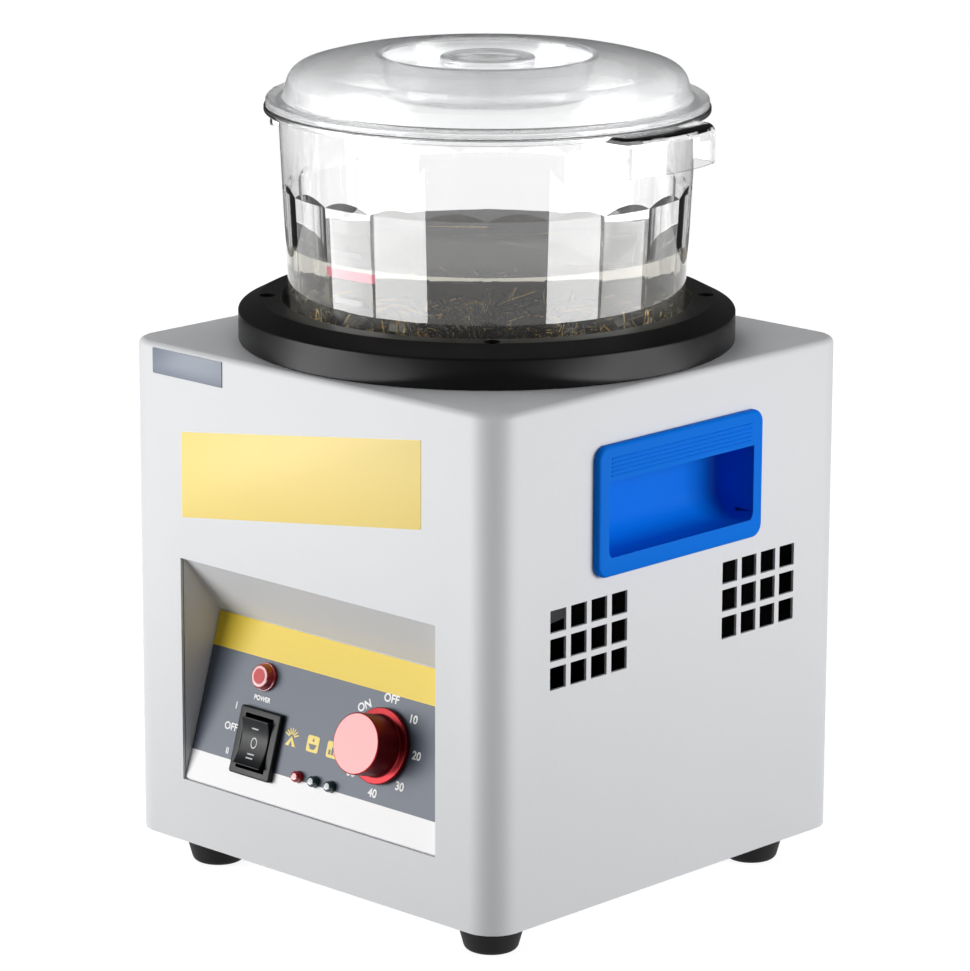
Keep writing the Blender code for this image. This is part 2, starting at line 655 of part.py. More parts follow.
def timer(panel, dark, brass, steel, red):
    axis = empty("timer_axis", (TIMER_X, TIMER_UP, 0), parent=panel)
    half = TIMER_BODY / 2
    bush_top = OVERLAY_TOP + FIT_GAP + TIMER_BUSH_REACH
    case = box((-half, half), (-half, half), (BEHIND_PANEL - TIMER_BODY_DEPTH, BEHIND_PANEL))
    body = piece("timer_body", case, dark, axis)
    join(body, cylinder(TIMER_BUSH_RADIUS, BEHIND_PANEL - SHEET, bush_top))
    cut(body, cylinder(TIMER_SHAFT_RADIUS + FIT_GAP, BEHIND_PANEL - TIMER_SHAFT_SUNK, bush_top + SHEET))
    nut_low = OVERLAY_TOP + FIT_GAP
    nut = tube(TIMER_NUT_RADIUS, TIMER_BUSH_RADIUS + FIT_GAP, nut_low, nut_low + TIMER_NUT_THICKNESS)
    piece("timer_nut", nut, brass, axis)
    knob_low = OVERLAY_TOP + RUN_GAP
    knob_top = knob_low + KNOB_HEIGHT
    hollow_top = knob_low + KNOB_HOLLOW_DEPTH
    shaft_top = knob_top - KNOB_FACE
    piece("timer_shaft", cylinder(TIMER_SHAFT_RADIUS, BEHIND_PANEL - TIMER_SHAFT_SUNK + FIT_GAP,
                                  shaft_top - FIT_GAP), steel, axis)
    bore = TIMER_SHAFT_RADIUS + FIT_GAP
    hollow = TIMER_NUT_RADIUS + RUN_GAP
    skirt_top = knob_low + KNOB_SKIRT_HEIGHT
    corners = [(0, knob_top, 0), (KNOB_RADIUS, knob_top, KNOB_EDGE), (KNOB_RADIUS, skirt_top, 0),
               (KNOB_SKIRT_RADIUS, skirt_top, KNOB_EDGE), (KNOB_SKIRT_RADIUS, knob_low, 0),
               (hollow, knob_low, 0), (hollow, hollow_top, 0), (bore, hollow_top, 0), (bore, shaft_top, 0),
               (0, shaft_top, 0)]
    piece("timer_knob", turned(filleted(corners), KNOB_SIDES), red, axis)


def rocker_outline():
    """Side view of the rocker as (up the panel, outward) points about its pivot."""
    end = ROCKER_LENGTH / 2
    crest = ROCKER_CREST + ROCKER_PIVOT_DEPTH
    face = [(end * t, crest - ROCKER_DIP * (1 - t * t)) for t in (-1, -0.6, -0.2, 0.2, 0.6, 1)]
    return [(end, 0), *reversed(face), (-end, 0), (0, ROCKER_PIVOT_DEPTH - ROCKER_KEEL - ROCKER_PIVOT_RADIUS)]


def switch(panel, black):
    body_x, body_y = SWITCH_BODY_WIDTH / 2, SWITCH_BODY_LENGTH / 2
    pocket_x = ROCKER_WIDTH / 2 + RUN_GAP
    pocket_y = ROCKER_LENGTH / 2 + ROCKER_SWING_ROOM
    bezel_low = OVERLAY_TOP + FIT_GAP
    bezel_top = bezel_low + SWITCH_BEZEL_HEIGHT
    place = (SWITCH_X, SWITCH_UP, 0)
    bezel = slab(SWITCH_BEZEL_WIDTH, SWITCH_BEZEL_LENGTH, SWITCH_EDGE, bezel_low, bezel_top)
    body = piece("switch_body", soften_top(bezel, SWITCH_EDGE), black, panel, place)
    overlap = bezel_low + SWITCH_BEZEL_HEIGHT / 2
    join(body, box((-body_x, body_x), (-body_y, body_y), (-SWITCH_BODY_DEPTH, overlap)))
    floor = -ROCKER_PIVOT_DEPTH - ROCKER_KEEL - ROCKER_SWING_ROOM
    cut(body, box((-pocket_x, pocket_x), (-pocket_y, pocket_y), (floor, bezel_top + SHEET)))
    reach = ROCKER_WIDTH / 2 + ROCKER_PIVOT_REACH

    def across(radius, half):
        return shifted(cylinder(radius, -half, half), turn=pi / 2, axis="Y")

    cut(body, shifted(across(ROCKER_PIVOT_RADIUS + FIT_GAP, reach + FIT_GAP), (0, 0, -ROCKER_PIVOT_DEPTH)))
    pivot = empty("rocker_pivot", (SWITCH_X, SWITCH_UP, -ROCKER_PIVOT_DEPTH), parent=panel)
    rocker = piece("switch_rocker", along_wall(rocker_outline(), ROCKER_WIDTH / 2), black, pivot)
    join(rocker, across(ROCKER_PIVOT_RADIUS, reach))


def lights(panel, red_lens, dark, green_lens):
    lens_low = OVERLAY_TOP + FIT_GAP
    flange_top = lens_low + LAMP_FLANGE_HEIGHT
    stem_end = lens_low - LAMP_STEM_LENGTH
    corners = [(0, lens_low + LAMP_HEIGHT, 0), (LAMP_FACE_RADIUS, lens_low + LAMP_HEIGHT, LAMP_FLANGE_HEIGHT),
               (LAMP_BASE_RADIUS, flange_top, 0), (LAMP_FLANGE_RADIUS, flange_top, 0),
               (LAMP_FLANGE_RADIUS, lens_low, 0), (LAMP_STEM_RADIUS, lens_low, 0),
               (LAMP_STEM_RADIUS, stem_end, 0), (0, stem_end, 0)]
    place = (LAMP_X, LAMP_UP, 0)
    piece("lamp_lens", turned(filleted(corners)), red_lens, panel, place)
    bore = LAMP_STEM_RADIUS + FIT_GAP
    socket = [(0, stem_end - FIT_GAP), (bore, stem_end - FIT_GAP), (bore, BEHIND_PANEL),
              (LAMP_HOLDER_RADIUS, BEHIND_PANEL), (LAMP_HOLDER_RADIUS, BEHIND_PANEL - LAMP_HOLDER_LENGTH),
              (0, BEHIND_PANEL - LAMP_HOLDER_LENGTH)]
    piece("lamp_holder", turned(socket), dark, panel, place)
    crown = OVERLAY_TOP + LED_HEIGHT
    rim_low = BEHIND_PANEL - LED_RIM_HEIGHT
    bulb = [(0, crown, 0), (LED_RADIUS, crown, LED_RADIUS * 0.9), (LED_RADIUS, BEHIND_PANEL, 0),
            (LED_RIM_RADIUS, BEHIND_PANEL, 0), (LED_RIM_RADIUS, rim_low, 0), (LED_RADIUS, rim_low, 0),
            (LED_RADIUS, rim_low - LED_TAIL, 0), (0, rim_low - LED_TAIL, 0)]
    for k, x in enumerate(led_places()):
        lens = red_lens if k == 0 else green_lens
        piece(f"indicator_{k + 1}", turned(filleted(bulb)), lens, panel, (x, LED_UP, 0))


# Bowl, its seat and its lid

def bowl_seat(black, dark_steel):
    outer = SEAT_BORE + SEAT_FLAT + SEAT_CHAMFER
    floor = SEAT_Z + SEAT_FLOOR
    crown = SEAT_Z + SEAT_HEIGHT
    profile = [(0, floor), (SEAT_BORE, floor), (SEAT_BORE, crown), (SEAT_BORE + SEAT_FLAT, crown),
               (outer, SEAT_Z + SEAT_WALL_HEIGHT), (outer, SEAT_Z), (0, SEAT_Z)]
    seat = piece("bowl_seat", turned(profile, SEAT_SIDES), black)
    head_seat = crown - SEAT_SCREW_SINK
    tip = UNDER_TOP_Z - SEAT_SCREW_GRIP
    sinks = []
    for k, (x, y) in enumerate(ring_places(4, SEAT_SCREW_CIRCLE, pi / 4)):
        sink = SEAT_SCREW_HEAD_RADIUS + FIT_GAP
        hole = pin(sink, SEAT_SCREW_SINK + SHEET, SEAT_SCREW_RADIUS + FIT_GAP, crown + SHEET, SEAT_Z - SHEET)
        sinks.append(shifted(hole, (x, y, 0)))
        top = head_seat + FIT_GAP + SEAT_SCREW_HEAD_HEIGHT
        screw = pin(SEAT_SCREW_HEAD_RADIUS, SEAT_SCREW_HEAD_HEIGHT, SEAT_SCREW_RADIUS, top, tip)
        piece(f"seat_screw_{k + 1}", screw, dark_steel, location=(x, y, 0))
    cut(seat, *sinks)


def wall_radius(height):
    """Outer radius of the bowl's wall, which widens from its foot to its rim."""
    share = (height - BOWL_CORNER) / (BOWL_HEIGHT - RIM_THICKNESS - BOWL_CORNER)
    return BOWL_FOOT_RADIUS + (BOWL_TOP_RADIUS - BOWL_FOOT_RADIUS) * share


def bowl_outline():
    rim_under = BOWL_HEIGHT - RIM_THICKNESS
    rim = BOWL_TOP_RADIUS + RIM_OVERHANG
    peak = FACET_TOP + FACET_ARCH
    corner = BOWL_CORNER - BOWL_WALL
    facet = [(wall_radius(z) - BOWL_WALL, z, 0) for z in (peak, FACET_TOP, FACET_LOW)]
    inside = filleted([(BOWL_TOP_RADIUS - BOWL_WALL, BOWL_HEIGHT, 0), *facet,
                       (BOWL_FOOT_RADIUS - BOWL_WALL, BOWL_FLOOR, corner), (0, BOWL_FLOOR, 0)])
    outside = filleted([(0, 0, 0), (BOWL_FOOT_RADIUS, 0, BOWL_CORNER), (wall_radius(FACET_LOW), FACET_LOW, 0),
                        (BOWL_TOP_RADIUS, rim_under, 0), (rim, rim_under, 0), (rim, BOWL_HEIGHT, RIM_EDGE),
                        (BOWL_TOP_RADIUS, BOWL_HEIGHT, 0)])
    return outside[:-1] + inside


def cut_facets(bm):
    """Flattens the inner wall between FACET_LOW and FACET_TOP and draws an arch over each flat."""
    step = 2 * pi / FACET_COUNT
    for vert in bm.verts:
        radius, height = hypot(vert.co.x, vert.co.y), vert.co.z
        if radius > wall_radius(height) - BOWL_WALL / 2:
            continue  # the outer wall stays round
        across = (atan2(vert.co.y, vert.co.x) % step) - step / 2
        if FACET_LOW - 1e-6 < height < FACET_TOP + 1e-6:
            flat = cos(step / 2) / cos(across)
            vert.co.x *= flat
            vert.co.y *= flat
        elif abs(height - FACET_TOP - FACET_ARCH) < 1e-6:
            height = FACET_TOP + FACET_ARCH * (1 - (2 * across / step) ** 2)
            scale = (wall_radius(height) - BOWL_WALL) / radius
            vert.co = (vert.co.x * scale, vert.co.y * scale, height)
    bmesh.ops.remove_doubles(bm, verts=bm.verts, dist=1e-6)


def ear_outline(inset, inner):
    """Plan of an ear as seen from above, pointing along +X, drawn in by inset."""
    radius, half = EAR_RADIUS - inset, EAR_WIDTH / 2 - inset
    corner_x = (radius ** 2 - half ** 2) ** 0.5
    bow = [((radius ** 2 - (half * t) ** 2) ** 0.5, half * t, 0) for t in (-0.4, 0, 0.4)]
    round_off = EAR_CORNER - inset
    return filleted([(inner, -half, 0), (corner_x, -half, round_off), *bow, (corner_x, half, round_off),
                     (inner, half, 0)], closed=True)


def bowl(clear):
    bm = turned(bowl_outline(), FACET_COUNT * FACET_COLUMNS)
    cut_facets(bm)
    shifted(bm, turn=FACET_TURN)
    made = piece("bowl", bm, clear, location=(0, 0, BOWL_Z))
    top = BOWL_HEIGHT - RIM_EDGE / 2
    low = BOWL_HEIGHT - RIM_THICKNESS - EAR_HEIGHT + EAR_WALL
    under = BOWL_HEIGHT - RIM_THICKNESS + RIM_EDGE / 2
    wall = BOWL_TOP_RADIUS + EAR_SIDE_GAP - EAR_WALL
    for side in (0, pi):
        block = soften_top(prism(ear_outline(0, wall), low, top), EAR_EDGE, 3)
        ear = piece(f"bowl_ear_{'left' if side else 'right'}", block, None)
        place_tool(ear, made, side)
        inside = prism(ear_outline(EAR_WALL, wall - EAR_WALL), low - EAR_WALL, under)
        hollow = piece(f"{ear.name}_hollow", inside, None)
        place_tool(hollow, made, side)
        link_tool(ear, hollow, "DIFFERENCE")
        link_tool(made, ear, "UNION")


def place_tool(tool, target, turn):
    tool.location = target.location
    tool.rotation_euler = (0, 0, EAR_TURN + turn)
    tool.hide_render = True
    tool.display_type = "WIRE"


def link_tool(target, tool, operation):
    modifier = target.modifiers.new(tool.name, "BOOLEAN")
    modifier.operation = operation
    modifier.object = tool


def lid(clear):
    top = LID_FLANGE_THICKNESS
    spigot = BOWL_TOP_RADIUS - BOWL_WALL - LID_SPIGOT_GAP
    wall = LID_WALL
    well_floor = WELL_HEIGHT - WELL_DEPTH + top
    rim = WELL_HEIGHT + top
    knob = rim - LID_KNOB_BELOW_RIM
    outside = [(0, knob, 0), (LID_KNOB_RADIUS, knob, WELL_ROUND / 2),
               (LID_KNOB_RADIUS, knob - LID_KNOB_THICKNESS, 0),
               (LID_KNOB_STEM, knob - LID_KNOB_THICKNESS, 0), (LID_KNOB_STEM, well_floor, 0),
               (WELL_FLOOR_RADIUS, well_floor, WELL_ROUND), (WELL_RADIUS, rim, WELL_ROUND / 2),
               (DOME_BROW_RADIUS, top + DOME_BROW_HEIGHT, DOME_BROW_RADIUS),
               (DOME_SHOULDER_RADIUS, top + DOME_SHOULDER_HEIGHT, DOME_SHOULDER_ROUND),
               (DOME_FOOT_RADIUS, top, 0), (LID_FLANGE_RADIUS, top, WELL_ROUND / 3),
               (LID_FLANGE_RADIUS, 0, 0), (spigot, 0, 0), (spigot, -LID_SPIGOT, 0),
               (spigot - wall, -LID_SPIGOT, 0)]
    inside = [(DOME_SHOULDER_RADIUS - wall, top + DOME_SHOULDER_HEIGHT - wall, DOME_SHOULDER_ROUND - wall),
              (DOME_BROW_RADIUS, top + DOME_BROW_HEIGHT - wall, DOME_BROW_RADIUS - wall),
              (WELL_RADIUS + wall, rim - wall, 0), (WELL_FLOOR_RADIUS + wall, well_floor - wall, WELL_ROUND),
              (0, well_floor - wall, 0)]
    piece("lid", turned(filleted(outside + inside), LID_SIDES), clear, location=(0, 0, LID_Z))


# Drive

def plate_outline():
    """Four arms that reach the seat's screws from a round centre."""
    half = PLATE_ARM / 2
    tip = SEAT_SCREW_CIRCLE + half
    root = asin(half / PLATE_CENTRE_RADIUS)  # angle from an arm's middle to where it leaves the centre
    points = []
    for k in range(4):
        middle = pi / 4 + k * pi / 2
        turn = Matrix.Rotation(middle, 2)
        points += [turn @ Vector((tip, -half)), turn @ Vector((tip, half))]
        first, last = middle + root, middle + pi / 2 - root
        points += [PLATE_CENTRE_RADIUS * Vector((cos(a), sin(a)))
                   for a in (first + (last - first) * t / 4 for t in range(5))]
    return points


def motor_mount(zinc, steel):
    """Standoffs under the seat's screws and the cross-shaped plate that they carry."""
    low = -STANDOFF_LENGTH
    plate_low = PLATE_Z - PLATE_THICKNESS
    plate = piece("motor_plate", prism(plate_outline(), plate_low, PLATE_Z), steel)
    holes = [cylinder(SPIGOT_RADIUS + FIT_GAP, plate_low - SHEET, PLATE_Z + SHEET, MOTOR_SIDES)]
    for k, (x, y) in enumerate(ring_places(4, SEAT_SCREW_CIRCLE, pi / 4)):
        hole = cylinder(STANDOFF_STUD_RADIUS + FIT_GAP, plate_low - SHEET, PLATE_Z + SHEET)
        holes.append(shifted(hole, (x, y, 0)))
        bore = SEAT_SCREW_RADIUS + FIT_GAP
        bore_end = -SEAT_SCREW_GRIP - SHEET
        stud_end = low - FIT_GAP - PLATE_THICKNESS
        profile = [(0, bore_end), (bore, bore_end), (bore, 0), (STANDOFF_RADIUS, 0), (STANDOFF_RADIUS, low),
                   (STANDOFF_STUD_RADIUS, low), (STANDOFF_STUD_RADIUS, stud_end), (0, stud_end)]
        piece(f"standoff_{k + 1}", turned(profile), zinc, location=(x, y, UNDER_TOP_Z - FIT_GAP))
    cut(plate, *holes)


def motor(cast, iron, steel):
    upper = PLATE_Z - PLATE_THICKNESS - FIT_GAP  # upper face of the upper bell
    bore = SHAFT_RADIUS + RUN_GAP
    pocket = BEARING_RADIUS + FIT_GAP
    sunk = BEARING_WIDTH + FIT_GAP
    inside = MOTOR_RADIUS - CAN_WALL
    bell = [(bore, 0), (MOTOR_RADIUS, 0), (MOTOR_RADIUS, -BELL_HEIGHT), (inside, -BELL_HEIGHT),
            (inside, -sunk), (pocket, -sunk), (pocket, -FIT_GAP), (bore, -FIT_GAP)]
    raised = [(bore, PLATE_THICKNESS), (SPIGOT_RADIUS, PLATE_THICKNESS), (SPIGOT_RADIUS, 0)] + bell[1:]
    top = raised[:-2] + [(pocket, PLATE_THICKNESS - SHAFT_RADIUS), (bore, PLATE_THICKNESS - SHAFT_RADIUS)]
    piece("motor_bell_upper", turned(top, MOTOR_SIDES, ring=True), cast, location=(0, 0, upper))
    can_top = upper - BELL_HEIGHT - FIT_GAP
    can_low = can_top - CAN_LENGTH
    piece("motor_can", tube(MOTOR_RADIUS, inside, can_low, can_top, MOTOR_SIDES), iron)
    lower = can_low - FIT_GAP - BELL_HEIGHT
    piece("motor_bell_lower", turned(top, MOTOR_SIDES, ring=True), cast, location=(0, 0, lower),
          rotation=(pi, 0, 0))
    race = SHAFT_RADIUS + FIT_GAP
    bearing_face = PLATE_THICKNESS - SHAFT_RADIUS - FIT_GAP
    for name, low in (("bearing_upper", upper + bearing_face - BEARING_WIDTH),
                      ("bearing_lower", lower - bearing_face)):
        piece(name, tube(BEARING_RADIUS, race, low, low + BEARING_WIDTH, MOTOR_SIDES), steel)
    return can_top, can_low, lower - PLATE_THICKNESS


def rotor(can_top, can_low, motor_low, iron, alloy, magnet, plastic):
    middle = (can_top + can_low) / 2
    fan_top = motor_low - FAN_DROP
    fan_low = fan_top - FAN_HEIGHT
    core = MOTOR_RADIUS - CAN_WALL - ROTOR_GAP
    half = ROTOR_LENGTH / 2
    axis = empty("rotor_axis", (0, 0, 0))
    shaft_top = DISC_Z - FIT_GAP
    profile = [(0, fan_low), (SHAFT_RADIUS, fan_low), (SHAFT_RADIUS, middle - half), (core, middle - half),
               (core, middle + half), (SHAFT_RADIUS, middle + half), (SHAFT_RADIUS, shaft_top),
               (0, shaft_top)]
    piece("rotor", turned(profile, MOTOR_SIDES), iron, axis)
    bore = SHAFT_RADIUS + FIT_GAP
    disc_low = DISC_Z - DISC_THICKNESS
    profile = [(bore, DISC_Z), (DISC_RADIUS, DISC_Z), (DISC_RADIUS, disc_low), (HUB_RADIUS, disc_low),
               (HUB_RADIUS, disc_low - HUB_LENGTH), (bore, disc_low - HUB_LENGTH)]
    disc = piece("magnet_disc", turned(profile, DISC_SIDES, ring=True), alloy, axis)
    pockets = []
    for k, (x, y) in enumerate(ring_places(MAGNET_COUNT, MAGNET_CIRCLE, 0)):
        floor = DISC_Z - MAGNET_HEIGHT - FIT_GAP
        pockets.append(shifted(cylinder(MAGNET_RADIUS + FIT_GAP, floor, DISC_Z + SHEET), (x, y, 0)))
        piece(f"magnet_{k + 1}", cylinder(MAGNET_RADIUS, floor + FIT_GAP, DISC_Z), magnet, axis, (x, y, 0))
    cut(disc, *pockets)
    fan = piece("cooling_fan", cylinder(FAN_HUB_RADIUS, fan_low, fan_top, MOTOR_SIDES), plastic, axis)
    for k in range(FAN_BLADES):
        blade = box((FAN_HUB_RADIUS - FAN_BLADE, FAN_RADIUS), (-FAN_BLADE / 2, FAN_BLADE / 2),
                    (-FAN_HEIGHT / 2, FAN_HEIGHT / 2))
        shifted(blade, turn=FAN_PITCH, axis="X")
        shifted(blade, turn=2 * pi * k / FAN_BLADES)
        join(fan, shifted(blade, (0, 0, (fan_low + fan_top) / 2)))
    cut(fan, cylinder(bore, fan_low - SHEET, fan_top + SHEET, MOTOR_SIDES))


# Electrics

def electrics(plastic, board_green, can):
    seat = DECK_Z + FIT_GAP
    half_x, half_y = BOARD_LENGTH / 2, BOARD_WIDTH / 2
    place = (BOARD_X, BOARD_Y, seat)
    posts_top = CARRIER_THICKNESS + CARRIER_POST_HEIGHT
    tray = box((-half_x, half_x), (-half_y, half_y), (0, CARRIER_THICKNESS))
    carrier = piece("board_carrier", tray, plastic, location=place)
    post_x, post_y = half_x - CARRIER_POST_INSET, half_y - CARRIER_POST_INSET
    for side, end in CORNERS.values():
        post = cylinder(CARRIER_POST_RADIUS, CARRIER_THICKNESS / 2, posts_top)
        join(carrier, shifted(post, (side * post_x, end * post_y, 0)))
    low = posts_top + FIT_GAP
    board_top = low + BOARD_THICKNESS
    board = piece("control_board", box((-half_x, half_x), (-half_y, half_y), (low, board_top)), board_green,
                  location=place)
    for x, y, length, width, height in BOARD_PARTS:
        join(board, box((x - length / 2, x + length / 2), (y - width / 2, y + width / 2),
                        (low + BOARD_THICKNESS / 2, board_top + height)))
    place = (CAPACITOR_X, CAPACITOR_Y, seat)
    rim, sunk = CAPACITOR_RADIUS - CAPACITOR_EDGE, CAPACITOR_HEIGHT - CAPACITOR_EDGE
    corners = [(0, 0, 0), (CAPACITOR_RADIUS, 0, CAPACITOR_EDGE),
               (CAPACITOR_RADIUS, CAPACITOR_HEIGHT, CAPACITOR_EDGE), (rim, CAPACITOR_HEIGHT, 0),
               (rim, sunk, 0), (0, sunk, 0)]
    piece("run_capacitor", turned(filleted(corners), MOTOR_SIDES), can, location=place)
    inner = CAPACITOR_RADIUS + FIT_GAP
    clip = tube(inner + CLIP_WALL, inner, 0, CLIP_HEIGHT, MOTOR_SIDES)
    piece("capacitor_clip", clip, plastic, location=place)


def inlet(black, brass, steel):
    """Mains inlet on the rear wall. Local Z points out of the wall and local Y points up."""
    wall = empty("inlet_face", (INLET_X, BODY_DEPTH / 2, BASE_Z + INLET_HEIGHT), (pi / 2, 0, pi))
    face = FIT_GAP + INLET_FLANGE_THICKNESS
    flange = slab(INLET_FLANGE_LENGTH, INLET_FLANGE_WIDTH, INLET_CORNER, FIT_GAP, face)
    body = piece("power_inlet", flange, black, wall)
    x, y = INLET_LENGTH / 2, INLET_WIDTH / 2
    join(body, box((-x, x), (-y, y), (-INLET_DEPTH, FIT_GAP + INLET_FLANGE_THICKNESS / 2)))
    floor = face - SOCKET_DEPTH
    cut(body, slab(SOCKET_LENGTH, SOCKET_WIDTH, PIN_THICKNESS, floor, face + SHEET))
    pins = {"line": (-PIN_PITCH, -PIN_OFFSET), "neutral": (PIN_PITCH, -PIN_OFFSET), "earth": (0, PIN_OFFSET)}
    holes = []
    for name, (px, py) in pins.items():
        wide, thick = PIN_THICKNESS / 2, PIN_WIDTH / 2
        tail = -INLET_DEPTH - PIN_TAIL
        blade = box((px - wide, px + wide), (py - thick, py + thick), (tail, face - PIN_SHY))
        piece(f"inlet_pin_{name}", blade, brass, wall)
        wide, thick = wide + FIT_GAP, thick + FIT_GAP
        holes.append(box((px - wide, px + wide), (py - thick, py + thick), (tail, floor + SHEET)))
    for k, side in enumerate((-1, 1)):
        place = (side * INLET_SCREW_PITCH / 2, 0, 0)
        top = face + FIT_GAP + INLET_SCREW_HEAD_HEIGHT
        screw = pin(INLET_SCREW_HEAD_RADIUS, INLET_SCREW_HEAD_HEIGHT, INLET_SCREW_RADIUS, top,
                    top - INLET_SCREW_LENGTH)
        piece(f"inlet_screw_{k + 1}", screw, steel, wall, place)
        holes.append(shifted(cylinder(INLET_SCREW_RADIUS + FIT_GAP, -SHEET, face + SHEET), place))
    cut(body, *holes)


def build():
    clear_scene()
    coat = finish("silver_coat", (0.72, 0.73, 0.75), 0.45, 0.2)
    zinc = finish("zinc_plate", (0.55, 0.56, 0.58), 0.35, 0.9)
    steel = finish("steel", (0.45, 0.46, 0.48), 0.3, 1.0)
    iron = finish("motor_iron", (0.10, 0.10, 0.11), 0.5, 0.6)
    cast = finish("cast_alloy", (0.60, 0.60, 0.61), 0.4, 0.9)
    magnet = finish("nickel", (0.62, 0.60, 0.57), 0.2, 1.0)
    brass = finish("brass", (0.65, 0.48, 0.20), 0.3, 1.0)
    rubber = finish("black_rubber", (0.02, 0.02, 0.02), 0.7)
    black = finish("black_plastic", (0.018, 0.018, 0.020), 0.4)
    blue = finish("blue_plastic", (0.01, 0.10, 0.62), 0.3)
    sheet = finish("printed_sheet", (0.18, 0.21, 0.26), 0.5)
    red = finish("red_anodised", (0.45, 0.01, 0.02), 0.3, 0.8)
    red_lens = finish("red_lens", (0.5, 0.01, 0.02), 0.15)
    green_lens = finish("dark_green_lens", (0.02, 0.07, 0.07), 0.15)
    clear = finish("clear_plastic", (0.95, 0.96, 0.97), 0.05, 0.0, 1.0)
    board_green = finish("circuit_board", (0.02, 0.16, 0.07), 0.5)
    housing(coat)
    base_plate(zinc)
    feet(rubber, zinc)
    handles(blue)
    tray = recess_tray(coat)
    panel = empty("control_panel", (0, TRAY_Y, BASE_Z + RECESS_LOW), (pi / 2 - PANEL_TILT, 0, 0))
    overlay(panel, tray, sheet)
    timer(panel, black, brass, steel, red)
    switch(panel, black)
    lights(panel, red_lens, black, green_lens)
    bowl_seat(black, steel)
    bowl(clear)
    lid(clear)
    motor_mount(zinc, steel)
    can_top, can_low, motor_low = motor(cast, iron, steel)
    rotor(can_top, can_low, motor_low, iron, cast, magnet, black)
    electrics(black, board_green, cast)
    inlet(black, brass, steel)


build()
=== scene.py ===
import math
import random

import bmesh
import bpy
from mathutils import Matrix, Vector


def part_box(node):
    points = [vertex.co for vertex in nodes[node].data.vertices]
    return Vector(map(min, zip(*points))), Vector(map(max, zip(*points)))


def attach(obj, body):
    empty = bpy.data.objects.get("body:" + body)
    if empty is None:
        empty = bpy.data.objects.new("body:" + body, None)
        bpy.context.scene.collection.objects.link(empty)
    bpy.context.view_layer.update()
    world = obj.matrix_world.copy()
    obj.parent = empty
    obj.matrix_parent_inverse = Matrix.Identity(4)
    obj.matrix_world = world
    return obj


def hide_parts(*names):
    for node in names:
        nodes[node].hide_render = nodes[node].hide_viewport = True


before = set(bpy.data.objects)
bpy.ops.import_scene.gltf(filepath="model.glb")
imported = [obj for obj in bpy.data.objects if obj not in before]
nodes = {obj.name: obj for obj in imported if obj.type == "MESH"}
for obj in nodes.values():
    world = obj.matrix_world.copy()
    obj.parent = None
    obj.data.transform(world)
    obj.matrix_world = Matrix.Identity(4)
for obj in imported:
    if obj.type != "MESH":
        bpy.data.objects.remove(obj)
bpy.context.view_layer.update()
scene = bpy.context.scene
scene.view_settings.view_transform = "Standard"
print("frame loaded with", len(nodes), "nodes")


# camera, floor and light

camera = dict(eye=(1.4156, -1.4823, 0.6924), azimuth=43.697, down=14.101, roll=0.194, lens=172.65)
studio = dict(floorSize=2.4, floorColour=0.30, floorLift=0.89, ambient=0.09, mirror=0.08, lampAim=0.17,
              cardMiddle=0.05, cardAim=0.29,
              # what clear plastic looks through to: white table, dark wall at eye level, pale ceiling
              through=[(-1.0, 1.0), (-0.125, 1.0), (-0.05, 0.28), (0.28, 0.30), (0.6, 0.5)])
lamps = [  # azimuth and height seen from the object, distance, width, height, watts
    dict(name="keyLeft", azimuth=-34, rise=8, away=2.6, width=1.8, height=1.5, watts=67),
    dict(name="sideRight", azimuth=113, rise=8, away=2.0, width=1.4, height=1.2, watts=32),
    dict(name="backHigh", azimuth=236, rise=31, away=1.9, width=1.0, height=0.7, watts=10, matt=True),
]
cards = [  # low reflectors that only show as gloss: azimuth, distance, width, height, brightness
    dict(name="cardLeft", azimuth=-4.6, away=0.72, width=0.40, height=0.12, bright=10.5),
    dict(name="cardFarLeft", azimuth=-37, away=0.71, width=0.38, height=0.12, bright=8.5),
    dict(name="cardRight", azimuth=92, away=0.72, width=0.40, height=0.12, bright=10.5),
    dict(name="cardFarRight", azimuth=124.5, away=0.71, width=0.38, height=0.12, bright=5.0),
]


def compass(azimuth, rise):
    a, e = math.radians(azimuth), math.radians(rise)
    return Vector((math.sin(a) * math.cos(e), -math.cos(a) * math.cos(e), math.sin(e)))


def makeCamera():
    data = bpy.data.cameras.new("photoCamera")
    data.lens = camera["lens"]
    data.clip_start, data.clip_end = 0.1, 30
    held = bpy.data.objects.new("photoCamera", data)
    scene.collection.objects.link(held)
    look = -compass(camera["azimuth"], camera["down"])
    turn = look.to_track_quat("-Z", "Y") @ Matrix.Rotation(math.radians(camera["roll"]), 3, "Z").to_quaternion()
    held.matrix_world = Matrix.Translation(camera["eye"]) @ turn.to_matrix().to_4x4()
    scene.camera = held


def hangLight(name, width, height, watts, spot, look):
    data = bpy.data.lights.new(name, "AREA")
    data.shape = "RECTANGLE"
    data.size, data.size_y = width, height
    data.energy = watts
    held = bpy.data.objects.new(name, data)
    held.visible_camera = False
    scene.collection.objects.link(held)
    held.matrix_world = Matrix.Translation(spot) @ look.to_track_quat("-Z", "Y").to_matrix().to_4x4()
    return held


def makeLamps():
    for lamp in lamps:
        away = compass(lamp["azimuth"], lamp["rise"])
        held = hangLight(lamp["name"], lamp["width"], lamp["height"], lamp["watts"],
                         Vector((0, 0, studio["lampAim"])) + away * lamp["away"], -away)
        held.visible_glossy = held.visible_transmission = "matt" not in lamp
    for card in cards:
        spot = compass(card["azimuth"], 0) * card["away"] + Vector((0, 0, studio["cardMiddle"]))
        held = hangLight(card["name"], card["width"], card["height"],
                         card["bright"] * math.pi * card["width"] * card["height"],
                         spot, Vector((0, 0, studio["cardAim"])) - spot)
        held.visible_diffuse = False


def link(tree, start, end):
    tree.links.new(start, end)


